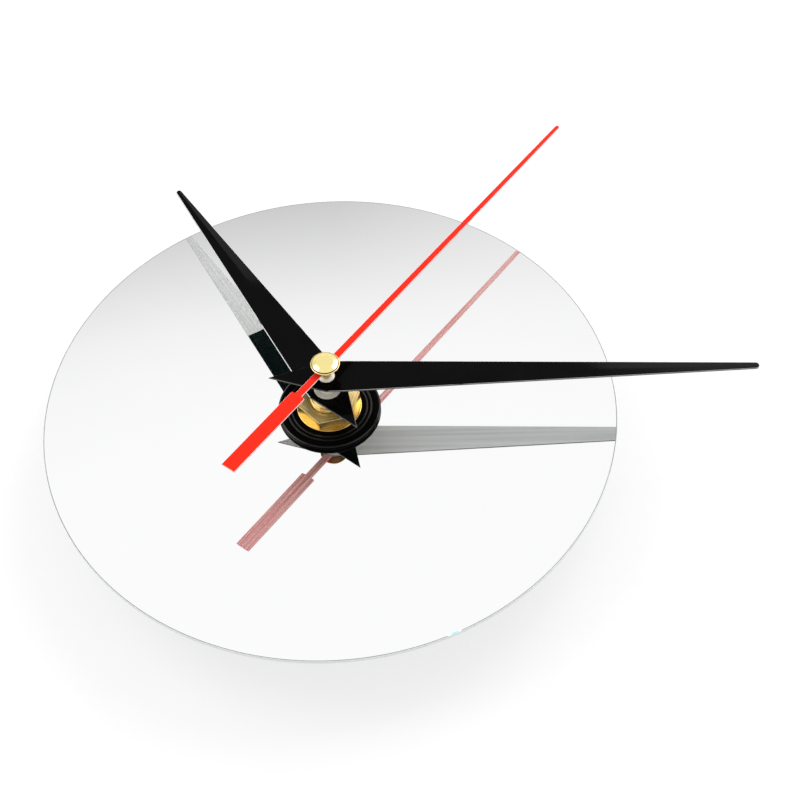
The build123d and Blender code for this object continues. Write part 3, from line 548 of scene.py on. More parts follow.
def make_piece(
    name: str,
    points: Sequence[Solid],
    faces: Sequence[Sequence[int]],
    finishes: Sequence[Finish],
    marks: Sequence[int] = (),
    sharp: float = CRISP,
) -> Piece:
    """Makes one closed, smooth-shaded mesh piece at the origin.

    Args:
        name: the piece's name.
        points: corners in millimetres, in the clock's frame.
        faces: corner numbers of each face.
        finishes: the piece's finishes.
        marks: for each face the number of its finish, or nothing for the first.
        sharp: edges that bend by more than this many degrees stay crisp.

    Returns:
        The new object.
    """
    mesh = bpy.data.meshes.new(name)
    mesh.from_pydata([tuple(x * MM for x in point) for point in points], [], [list(face) for face in faces])
    for finish in finishes:
        mesh.materials.append(finish.material())
    if marks:
        mesh.polygons.foreach_set("material_index", [int(mark) for mark in marks])
    form = bmesh.new()
    form.from_mesh(mesh)
    bmesh.ops.remove_doubles(form, verts=form.verts, dist=WELD)
    bmesh.ops.recalc_face_normals(form, faces=form.faces)
    form.to_mesh(mesh)
    form.free()
    mesh.shade_smooth()
    mesh.set_sharp_from_angle(angle=math.radians(sharp))
    return add_object(name, mesh)


def loft(
    name: str,
    rings: Sequence[Sequence[Solid]],
    finishes: Sequence[Finish],
    marks: Sequence[int | None],
    sharp: float,
) -> Piece:
    """Joins closed rings of points in order, and the last one to the first.

    Args:
        name: the piece's name.
        rings: rings of equally many points.
        finishes: the piece's finishes.
        marks: the finish number of each edge of a ring, or nothing for an edge that makes no faces.
        sharp: crisp edge angle in degrees.

    Returns:
        The new object.
    """
    count = len(marks)
    faces: list[tuple[int, ...]] = []
    numbers: list[int] = []
    for step in range(len(rings)):
        near, far = step * count, (step + 1) % len(rings) * count
        for index, mark in enumerate(marks):
            if mark is None:
                continue
            after = (index + 1) % count
            faces.append((near + index, far + index, far + after, near + after))
            numbers.append(mark)
    return make_piece(name, [point for ring in rings for point in ring], faces, finishes, numbers, sharp)


@dataclass(frozen=True)
class Zone:
    """The part of a turned profile that has this finish number: edges with their middle in both spans."""

    number: int
    reach: Flat = ANYWHERE
    rise: Flat = ANYWHERE

    def holds(self, reach: float, rise: float) -> bool:
        """Tells whether this place is in the zone."""
        return self.reach[0] < reach < self.reach[1] and self.rise[0] < rise < self.rise[1]


def spin(
    name: str,
    corners: Sequence[Corner],
    finishes: Sequence[Finish],
    zones: Sequence[Zone] = (),
    steps: int = 3,
    segments: int = 96,
    sharp: float = CRISP,
    place: Callable[[float, float, float], Solid] | None = None,
) -> Piece:
    """Turns a closed profile round an axis.

    Args:
        name: the piece's name.
        corners: radius, height and fillet of the profile's corners, in order.
        finishes: the piece's finishes.
        zones: where they are; the first zone that fits counts, and the first finish is everywhere else.
        steps: pieces in each fillet.
        segments: steps in the full turn.
        sharp: crisp edge angle in degrees.
        place: puts a point of the turned shape in the clock's frame; the plain frame if left out.

    Returns:
        The new object.
    """
    profile = soften(corners, steps)
    marks: list[int | None] = []
    for (r0, z0), (r1, z1) in zip(profile, [*profile[1:], profile[0]]):
        middle = (r0 + r1) / 2, (z0 + z1) / 2
        number = next((zone.number for zone in zones if zone.holds(*middle)), 0)
        marks.append(number if max(r0, r1) > 0 else None)
    rings = []
    for step in range(segments):
        angle = 2 * math.pi * step / segments
        ring = [(r * math.cos(angle), r * math.sin(angle), z) for r, z in profile]
        rings.append([place(*point) for point in ring] if place else ring)
    return loft(name, rings, finishes, marks, sharp)


def drum(start: int, count: int, rings: int) -> list[list[int]]:
    """Gives the faces of a closed drum: its foot, its top, and the walls between its rings of points.

    Args:
        start: number of the first point.
        count: points in a ring.
        rings: rings from the foot up.

    Returns:
        Corner numbers of each face.
    """
    top = start + count * (rings - 1)
    faces = [list(range(start, start + count))[::-1], list(range(top, top + count))]
    for low in range(start, top, count):
        for step in range(count):
            after = (step + 1) % count
            faces.append([low + step, low + after, low + count + after, low + count + step])
    return faces


def bake(made: Piece, sharp: float) -> Piece:
    """Turns what an object's modifiers make into its plain mesh.

    Args:
        made: the object.
        sharp: crisp edge angle in degrees.

    Returns:
        The same object, with no modifier left on it.
    """
    graph = bpy.context.evaluated_depsgraph_get()
    result = bpy.data.meshes.new_from_object(made.evaluated_get(graph))
    made.modifiers.clear()
    made.data = result
    result.set_sharp_from_angle(angle=math.radians(sharp))
    return made


class NodeModel:
    """One Geometry Nodes tree with named inputs, turned into a plain mesh."""

    def __init__(self, name: str, inputs: dict[str, str]) -> None:
        """Starts a tree.

        Args:
            name: the tree's name.
            inputs: input name to socket kind.
        """
        shape = {"Geometry": "Geometry"}
        self.desk = new_group(name, "GeometryNodeTree", {**shape, **inputs}, shape)
        self.given = self.desk.node("NodeGroupInput").outputs

    def close(self, geometry: Socket, finish: Finish) -> None:
        """Ends the tree in plain, dressed geometry.

        Args:
            geometry: what the tree has made.
            finish: its finish.
        """
        real = self.desk.give("GeometryNodeRealizeInstances", {"Geometry": geometry})
        dressed = self.desk.give("GeometryNodeSetMaterial", {"Geometry": real, "Material": finish.material()})
        self.desk.node("NodeGroupOutput", {"Geometry": dressed})

    def grow(self, name: str, values: dict[str, object], seeds: Sequence[Solid] = ()) -> Piece:
        """Runs the tree on seed points.

        Args:
            name: the piece's name.
            values: input name to value.
            seeds: points in millimetres that the tree works on.

        Returns:
            The finished piece.
        """
        mesh = bpy.data.meshes.new(f"{name}_seed")
        mesh.from_pydata([tuple(x * MM for x in seed) for seed in seeds], [], [])
        made = add_object(name, mesh)
        growth = made.modifiers.new("growth", "NODES")
        growth.node_group = self.desk.tree
        for item in self.desk.tree.interface.items_tree:
            if item.in_out == "INPUT" and item.name in values:
                growth[item.identifier] = values[item.name]
        return bake(made, CRISP)


def merged_copy(node: str, bend: float = 0.5) -> bmesh.types.BMesh:
    """Copies a solid's mesh with its loose triangles joined and its flats made whole.

    Args:
        node: the solid's name.
        bend: degrees up to which faces are one flat.

    Returns:
        The editable copy.
    """
    form = bmesh.new()
    form.from_mesh(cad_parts[node].data)
    bmesh.ops.remove_doubles(form, verts=form.verts, dist=WELD_SOLID)
    bmesh.ops.dissolve_limit(form, angle_limit=math.radians(bend), verts=form.verts, edges=form.edges)
    return form


def dressed_copy(name: str, form: bmesh.types.BMesh, finish: Finish) -> Piece:
    """Makes a piece of an edited copy.

    Args:
        name: the piece's name.
        form: the edited copy, which is freed.
        finish: its finish.

    Returns:
        The new object.
    """
    mesh = bpy.data.meshes.new(name)
    form.to_mesh(mesh)
    form.free()
    for stale in ("custom_normal", "sharp_face", "sharp_edge"):
        if stale in mesh.attributes:
            mesh.attributes.remove(mesh.attributes[stale])
    mesh.materials.append(finish.material())
    mesh.shade_smooth()
    mesh.set_sharp_from_angle(angle=math.radians(CRISP_MOULD))
    return add_object(name, mesh)


def settle(piece: Piece, body: str, slot: str, *nodes: str) -> None:
    """Ties a piece to its body and hides the solids that it stands for.

    Args:
        piece: the finished piece.
        body: body that it rides on.
        slot: the record's material slot; not used.
        nodes: solids that it replaces.
    """
    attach(piece, body)
    if nodes:
        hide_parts(*nodes)
    log.info("%s on %s: %d faces", piece.name, body, len(piece.data.polygons))


@dataclass
class MirrorPlate:
    """The round silvered plate, millimetres.

    bare is the width of the rim without silver, and hair the play in a height that counts as the front or
    the back. chip_rings are the chip's rings from its foot up: half its width, half its span in degrees and
    its height over the front.
    """

    radius: float = 62.48
    hole: float = 4.08
    low: float = 16.5
    high: float = 17.3
    arris: float = 0.08
    bare: float = 0.26
    hair: float = 0.001
    chip_angle: float = -74.9
    chip_inset: float = 0.24
    chip_rings: tuple[Solid, ...] = ((0.23, 1.5, -0.05), (0.23, 1.5, 0.006), (0.17, 0.9, 0.009))
    chip_corners: int = 24

    def build(self) -> None:
        """Builds the plate with polished arrises, a silvered front, a cut edge painted near white for the
        light that it catches, and a painted back.
        """
        silvered = self.radius - self.bare
        corners = [
            (self.hole, self.low, 0.0),
            (self.radius, self.low, self.arris),
            (self.radius, self.high, self.arris),
            (silvered, self.high, 0.0),
            (self.hole, self.high, 0.0),
        ]
        front = (self.high - self.hair, math.inf)
        zones = [
            Zone(3, (silvered, math.inf), front),
            Zone(0, rise=front),
            Zone(2, rise=(-math.inf, self.low + self.hair)),
            Zone(1),
        ]
        finishes = [SILVER, MIRROR_EDGE_LIT, MIRROR_BACK, MIRROR_RIM]
        plate = spin("mirror_plate", corners, finishes, zones, segments=320, sharp=10.0)
        settle(plate, "case", "mirror", "mirror")
        settle(self.chip(), "case", "mirror")

    def chip(self) -> Piece:
        """Builds the small chip in the front rim; its pale face and its blue-green break are a painted glint.

        Returns:
            The new object.
        """
        points: list[Solid] = []
        for half, span, rise in self.chip_rings:
            for step in range(self.chip_corners):
                turn = 2 * math.pi * step / self.chip_corners
                radius = self.radius - self.chip_inset + half * math.sin(turn)
                points.append((*polar(radius, self.chip_angle + span * math.cos(turn)), self.high + rise))
        faces = drum(0, self.chip_corners, len(self.chip_rings))
        marks = [1 if index == 1 else 0 for index in range(len(faces))]
        return make_piece("rim_chip", points, faces, [CHIP_GLINT_PALE, CHIP_GLINT_CYAN], marks)


@dataclass
class ClampStack:
    """Rubber washer, brass washer, hex nut and threaded bushing on the hand axis, millimetres.

    rubber_ridges are the corners of the rubber's top from the bead inwards: radius, depth under the top and
    fillet. The crests in rubbed_ring, down to rubbed_depth, and the bead's shoulder are rubbed smooth.
    """

    foot: float = 17.3
    hole: float = 4.08
    rubber_radius: float = 11.2
    rubber_top: float = 18.5
    rubber_lip: float = 0.25
    rubber_bead: float = 0.45
    rubber_ridges: tuple[Corner, ...] = (
        (9.95, 0.0, 0.12), (9.7, 0.22, 0.1), (9.45, 0.22, 0.1), (9.3, 0.02, 0.08),
        (8.95, 0.02, 0.08), (8.8, 0.25, 0.1), (8.5, 0.25, 0.1), (8.36, 0.03, 0.08),
        (8.05, 0.03, 0.08), (7.9, 0.25, 0.1), (7.5, 0.25, 0.1), (7.3, 0.0, 0.06),
    )
    rubbed_ring: Flat = (7.95, 9.42)
    rubbed_depth: float = 0.09
    shoulder_inset: float = 0.4
    shoulder_depth: float = 0.24
    washer_radius: float = 7.1
    washer_top: float = 18.9
    nut_flats: float = 12.0
    nut_top: float = 21.2
    nut_bore: float = 4.0
    nut_sink: float = 0.3
    nut_bevel: float = 0.1
    nut_foot: float = 0.08
    nut_step: float = 5.0
    stem_root: float = 3.62
    stem_crest: float = 4.0
    stem_bore: float = 2.58
    stem_top: float = 22.7
    stem_bevel: float = 0.3
    bore_bevel: float = 0.12
    flange_radius: float = 5.6
    flange_low: float = 13.9
    flange_high: float = 15.1
    pitch: float = 0.75
    thread_foot: float = 0.5
    thread_end: float = 0.42
    thread_share: float = 0.98
    thread_steps: int = 72
    tooth_corners: int = 10

    def build(self) -> None:
        """Builds the four pieces and the thread."""
        settle(self.rubber(), "case", "rubber", "rubber_washer")
        settle(self.washer(), "case", "brass", "brass_washer")
        settle(self.nut(), "case", "brass", "nut")
        settle(self.bushing(), "case", "brass", "bushing")
        settle(self.thread(), "case", "brass")

    def rubber(self) -> Piece:
        """Builds the rubber washer with its ridges and outer bead.

        Returns:
            The new object.
        """
        edge, top = self.rubber_radius, self.rubber_top
        corners = [
            (self.hole, self.foot, 0.0),
            (edge - self.rubber_lip, self.foot, 0.3),
            (edge, self.foot + self.rubber_bead, 0.4),
            (edge, top - self.rubber_lip, 0.3),
            (edge - self.rubber_bead, top, 0.3),
            *[(reach, top - depth, fillet) for reach, depth, fillet in self.rubber_ridges],
            (self.hole, top, 0.0),
        ]
        crest = top - self.rubbed_depth
        zones = [
            Zone(1, self.rubbed_ring, (crest, math.inf)),
            Zone(1, (edge - self.shoulder_inset, math.inf), (top - self.shoulder_depth, crest)),
        ]
        return spin("rubber_ring", corners, [RUBBER, RUBBED], zones, steps=4, segments=160, sharp=60.0)

    def washer(self) -> Piece:
        """Builds the flat brass washer.

        Returns:
            The new object.
        """
        edge, low, high = self.washer_radius, self.rubber_top, self.washer_top
        corners = [(self.hole, low, 0.0), (edge, low, 0.12), (edge, high, 0.2), (self.hole, high, 0.05)]
        return spin("washer_ring", corners, [WASHER_BRASS], steps=5, segments=128, sharp=50.0)

    def nut(self) -> Piece:
        """Builds the hex nut with bevelled edges and a countersunk bore.

        Returns:
            The new object.
        """
        low, high, bore = self.washer_top, self.nut_top, self.nut_bore
        rings = []
        for step in range(round(360.0 / self.nut_step)):
            turn = step * self.nut_step
            wall = self.nut_flats / 2 / math.cos(math.radians(turn % 60.0 - 30.0))
            section = [
                (bore, low),
                (wall - self.nut_foot, low),
                (wall, low + self.nut_foot),
                (wall, high - self.nut_bevel),
                (wall - self.nut_bevel, high),
                (bore + self.nut_sink, high),
                (bore, high - self.nut_sink),
            ]
            rings.append([(*polar(reach, NUT_ANGLE + turn), rise) for reach, rise in section])
        return loft("hex_nut", rings, [NUT_BRASS], [0] * len(rings[0]), sharp=18.0)

    def bushing(self) -> Piece:
        """Builds the bushing's core with its flange inside the case.

        Returns:
            The new object.
        """
        corners = [
            (self.stem_bore, self.flange_low, 0.0),
            (self.flange_radius, self.flange_low, 0.1),
            (self.flange_radius, self.flange_high, 0.1),
            (self.stem_root, self.flange_high, 0.0),
            (self.stem_root, self.stem_top - self.stem_bevel, 0.06),
            (self.stem_root - self.stem_bevel, self.stem_top, 0.06),
            (self.stem_bore + self.bore_bevel, self.stem_top, 0.0),
            (self.stem_bore, self.stem_top - self.bore_bevel, 0.0),
        ]
        return spin("bushing_core", corners, [BRASS])

    def thread(self) -> Piece:
        """Grows the screw thread as a swept coil.

        Returns:
            The new object.
        """
        inputs = dict.fromkeys(("Radius", "Rise", "Turns", "Depth"), "Float")
        model = NodeModel("screw_thread", {**inputs, "Start": "Vector"})
        desk, given = model.desk, model.given
        feeds = {"Resolution": self.thread_steps, "Rotations": given["Turns"], "Height": given["Rise"]}
        feeds |= {"Start Radius": given["Radius"], "End Radius": given["Radius"]}
        coil = desk.give("GeometryNodeCurveSpiral", feeds)
        upright = desk.give("GeometryNodeSetCurveNormal", {"Curve": coil}, mode="Z_UP")
        feeds = {"Resolution": self.tooth_corners, "Radius": given["Depth"]}
        tooth = desk.give("GeometryNodeCurvePrimitiveCircle", feeds)
        feeds = {"Curve": upright, "Profile Curve": tooth, "Fill Caps": True}
        swept = desk.give("GeometryNodeCurveToMesh", feeds)
        placed = desk.give("GeometryNodeTransform", {"Geometry": swept, "Translation": given["Start"]})
        smooth = desk.give("GeometryNodeSetShadeSmooth", {"Geometry": placed, "Shade Smooth": True})
        model.close(smooth, BRASS)
        start = self.flange_high + self.thread_foot
        rise = self.stem_top - self.thread_end - start
        values = {
            "Radius": self.stem_root * MM,
            "Rise": rise * MM,
            "Turns": rise / self.pitch,
            "Depth": (self.stem_crest - self.stem_root) * self.thread_share * MM,
            "Start": (0.0, 0.0, start * MM),
        }
        return model.grow("bushing_thread", values)


@dataclass
class Ribbon:
    """A strip of a hand beyond its hub, as stations outwards: distance from the axis and half width."""

    stations: list[Flat]
    toward: int = 1

    def shares(self, across: int) -> list[float]:
        """Gives places across the strip, -1 to 1, from the right as seen from the hub."""
        return [-1 + 2 * j / (across - 1) for j in range(across)][:: self.toward]


@dataclass
class Sheet:
    """A hand's front before it gets its thickness: points with their rise, and faces."""

    points: list[Solid] = field(default_factory=list)
    faces: list[tuple[int, ...]] = field(default_factory=list)

    def add(self, fresh: Sequence[Solid]) -> list[int]:
        """Adds points and returns their numbers."""
        self.points += fresh
        return list(range(len(self.points) - len(fresh), len(self.points)))

    def join(self, near: Sequence[int], far: Sequence[int]) -> None:
        """Adds the faces between two rows of points."""
        self.faces += zip(near, far, far[1:], near[1:])


class Face(IntEnum):
    """Sides of a hand, in the order of its finishes."""

    TOP = 0
    EDGE = 1
    UNDER = 2
    UNDER_HUB = 3
    SIDE = 4


@dataclass
class Hand:
    """A sheet-metal hand, millimetres, drawn along +X and turned to its hour.

    length runs from the axis to the tip, half is half the width at the hub and tip the radius of the tip.
    A crease rises by its share of the half width, over crease_ramp. Behind hub_mark the underside is
    painted. However wide the burr, the flat keeps this least share of the half width.
    """

    name: str
    node: str
    body: str
    slot: str
    angle: float
    low: float
    thick: float
    hole: float
    finishes: list[Finish]
    length: float
    half: float
    tip: float
    burr: float
    across: int = 13
    crease: float = 0.0
    crease_from: float = 0.0
    crease_ramp: float = 6.0
    hub_mark: float = -math.inf
    tail_arris: Face = Face.SIDE
    tip_steps: int = 6
    tip_lean: float = 14.0
    least: float = 0.5

    def hub_path(self, inset: float) -> list[list[Flat]]:
        """Gives the hub's free outline.

        Args:
            inset: distance inside the true outline.

        Returns:
            Paths in counter-clockwise order, each between two ribbons.
        """
        raise NotImplementedError

    def ribbons(self) -> list[Ribbon]:
        """Gives the strips beyond the hub, the front one first."""
        raise NotImplementedError

    def round_tip(self, end: float) -> list[Flat]:
        """Gives the stations of the round tip beyond the blade's end."""
        leans = [math.radians(self.tip_lean * k) for k in range(1, self.tip_steps + 1)]
        return [(end + (self.tip - self.burr) * math.sin(a), self.tip * math.cos(a)) for a in leans]

    def row(self, ribbon: Ribbon, x: float, half: float) -> list[Solid]:
        """Gives the points across a ribbon at one station, inside its burr.

        Args:
            ribbon: the strip.
            x: distance from the axis.
            half: half width there.

        Returns:
            The points, with the rise of the pressed crease.
        """
        width = max(half - self.burr, half * self.least)
        ramp = min(1.0, max(0.0, (x - self.crease_from) / self.crease_ramp))
        rise = self.crease * half * ramp * ramp * (3 - 2 * ramp)
        shares = ribbon.shares(self.across)
        return [(ribbon.toward * x, share * width, rise * (1 - abs(share))) for share in shares]

    def extend(self, sheet: Sheet, ribbon: Ribbon, row: list[int]) -> Rim:
        """Lays a ribbon's faces from its seam with the hub outwards.

        Args:
            sheet: the sheet, added to.
            ribbon: the strip.
            row: the seam's points.

        Returns:
            The ribbon's rim: out along one side, round the end and back along the other.
        """
        shares = ribbon.shares(self.across)
        out: Rim = []
        back: Rim = []
        for x, half in ribbon.stations[1:]:
            fresh = sheet.add(self.row(ribbon, x, half))
            sheet.join(row, fresh)
            row = fresh
            out.append((row[0], (ribbon.toward * x, shares[0] * half)))
            back.insert(0, (row[-1], (ribbon.toward * x, shares[-1] * half)))
        end, half = ribbon.stations[-1]
        x = ribbon.toward * (end + self.burr)
        return out + [(row[j], (x, shares[j] * half)) for j in range(1, self.across - 1)] + back

    def build(self) -> None:
        """Builds the sheet from the hub outwards, and gives it its thickness."""
        sheet = Sheet()
        ribbons = self.ribbons()
        seams = [sheet.add(self.row(ribbon, *ribbon.stations[0])) for ribbon in ribbons]
        ring: list[int] = []
        sides: list[Rim] = []
        for number, (path, true_path) in enumerate(zip(self.hub_path(self.burr), self.hub_path(0.0))):
            inner = sheet.add([(x, y, 0.0) for x, y in path[1:-1]])
            ring += seams[number] + inner
            following = seams[(number + 1) % len(seams)]
            sides.append(list(zip([seams[number][-1], *inner, following[0]], true_path)))
        bore: list[Solid] = []
        for x, y, _ in [sheet.points[index] for index in ring]:
            reach = math.hypot(x, y)
            bore.append((x * self.hole / reach, y * self.hole / reach, 0.0))
        hole = sheet.add(bore)
        sheet.join([*hole, hole[0]], [*ring, ring[0]])
        rim: Rim = []
        for ribbon, seam, side in zip(ribbons, seams, sides):
            rim += self.extend(sheet, ribbon, seam) + side
        self.close(sheet, hole, rim)

    def close(self, sheet: Sheet, hole: list[int], rim: Rim) -> None:
        """Gives the flat sheet its thickness and dresses it.

        Args:
            sheet: the front, its faces counter-clockwise.
            hole: points round the hub's hole, in order.
            rim: outer points in order, each with its place on the true outline.
        """
        count, high = len(sheet.points), self.low + self.thick
        upper, lower = 2 * count, 2 * count + len(rim)
        points = [(x, y, level + rise) for level in (high, self.low) for x, y, rise in sheet.points]
        for level in (high - self.burr, self.low + self.burr):
            points += [(x, y, level) for _, (x, y) in rim]
        faces = list(sheet.faces)
        marks = [Face.TOP] * len(faces)
        for corners in sheet.faces:
            faces.append(tuple(count + index for index in corners[::-1]))
            middle = sum(sheet.points[index][0] for index in corners) / len(corners)
            marks.append(Face.UNDER_HUB if middle < self.hub_mark else Face.UNDER)
        for here, after in zip(hole, [*hole[1:], hole[0]]):
            faces.append((here, after, count + after, count + here))
            marks.append(Face.EDGE)
        for index, (here, (x, _)) in enumerate(rim):
            after = (index + 1) % len(rim)
            there = rim[after][0]
            faces.append((here, upper + index, upper + after, there))
            faces.append((upper + index, lower + index, lower + after, upper + after))
            faces.append((lower + index, count + here, count + there, lower + after))
            under = Face.UNDER_HUB if x < self.hub_mark else Face.UNDER
            marks += [Face.EDGE if x > 0 else self.tail_arris, Face.SIDE, under]
        c, s = polar(1.0, self.angle)
        turned = [(x * c - y * s, x * s + y * c, z) for x, y, z in points]
        made = make_piece(self.name, turned, faces, self.finishes, marks, sharp=24.0)
        settle(made, self.body, self.slot, self.node)


@dataclass
class SwordHand(Hand):
    """A hand with a pointed tail, a broad hub and a long tapering blade."""

    tail: float = 12.0
    hub_steps: int = 8
    blade_steps: int = 36

    def hub_path(self, inset: float) -> list[list[Flat]]:
        """Gives the outline from the blade round the tail and back.

        Args:
            inset: distance inside the true outline.

        Returns:
            One path.
        """
        half, steps = self.half - inset, self.hub_steps
        tail = self.tail - inset / math.sin(math.atan2(self.half, self.tail))
        corners = [(self.half, half), (0.0, half), (-tail, 0.0), (0.0, -half), (self.half, -half)]
        path: list[Flat] = []
        for (x0, y0), (x1, y1) in zip(corners, corners[1:]):
            path += [(x0 + (x1 - x0) * k / steps, y0 + (y1 - y0) * k / steps) for k in range(steps)]
        return [[*path, corners[-1]]]

    def ribbons(self) -> list[Ribbon]:
        """Gives the blade, with a station where the underside's paint ends and a round tip.

        Returns:
            One strip.
        """
        start, end = self.half, self.length - self.tip
        marks = [start + (end - start) * k / self.blade_steps for k in range(self.blade_steps + 1)]
        if self.hub_mark > start:
            marks = sorted([*marks, self.hub_mark])
        taper = (self.half - self.tip) / (end - start)
        return [Ribbon([(x, self.half - (x - start) * taper) for x in marks] + self.round_tip(end))]


@dataclass
class SweepHand(Hand):
    """A needle with a flat counterweight behind the hub.

    neck_flare and weight_flare hold the stations where the neck widens into the counterweight: distance
    beyond weight_near, and how much wider it is there than the neck or than the counterweight. The last
    station lies weight_lip inside weight_far.
    """

    eye: float = 1.4
    eye_steps: int = 12
    needle_steps: int = 30
    neck_mark: float = 4.0
    neck_flare: tuple[Flat, ...] = ((-0.25, 0.0), (-0.08, 0.12))
    weight_flare: tuple[Flat, ...] = ((0.0, -0.08), (0.1, 0.0))
    weight_half: float = 1.72
    weight_near: float = 9.25
    weight_far: float = 32.2
    weight_lip: float = 0.05
    weight_steps: int = 12

    def neck_start(self) -> float:
        """Gives the distance from the axis at which the needle leaves the round eye."""
        return math.sqrt(self.eye ** 2 - self.half ** 2)

    def hub_path(self, inset: float) -> list[list[Flat]]:
        """Gives the two arcs of the eye.

        Args:
            inset: distance inside the true outline.

        Returns:
            The left arc and the right one.
        """
        start, half, steps = self.neck_start(), self.half - inset, self.eye_steps
        lean = math.atan2(half, start)
        turns = [lean + (math.pi - 2 * lean) * k / steps for k in range(1, steps)]
        arc = [((self.eye - inset) * math.cos(a), (self.eye - inset) * math.sin(a)) for a in turns]
        left = [(start, half), *arc, (-start, half)]
        return [left, [(-x, -y) for x, y in left]]

    def ribbons(self) -> list[Ribbon]:
        """Gives the needle and the counterweight on its neck.

        Returns:
            Both strips.
        """
        start, end = self.neck_start(), self.length - self.tip
        steps, run, taper = self.needle_steps, end - start, self.tip - self.half
        needle = [(start + run * k / steps, self.half + taper * k / steps) for k in range(steps + 1)]
        neck = [(start, self.half), (self.neck_mark, self.half)]
        for half, flare in ((self.half, self.neck_flare), (self.weight_half, self.weight_flare)):
            neck += [(self.weight_near + beyond, half + wider) for beyond, wider in flare]
        near, wide = neck[-1]
        run = self.weight_far - self.weight_lip - near
        neck += [(near + run * k / self.weight_steps, wide) for k in range(1, self.weight_steps + 1)]
        return [Ribbon(needle + self.round_tip(end)), Ribbon(neck, -1)]


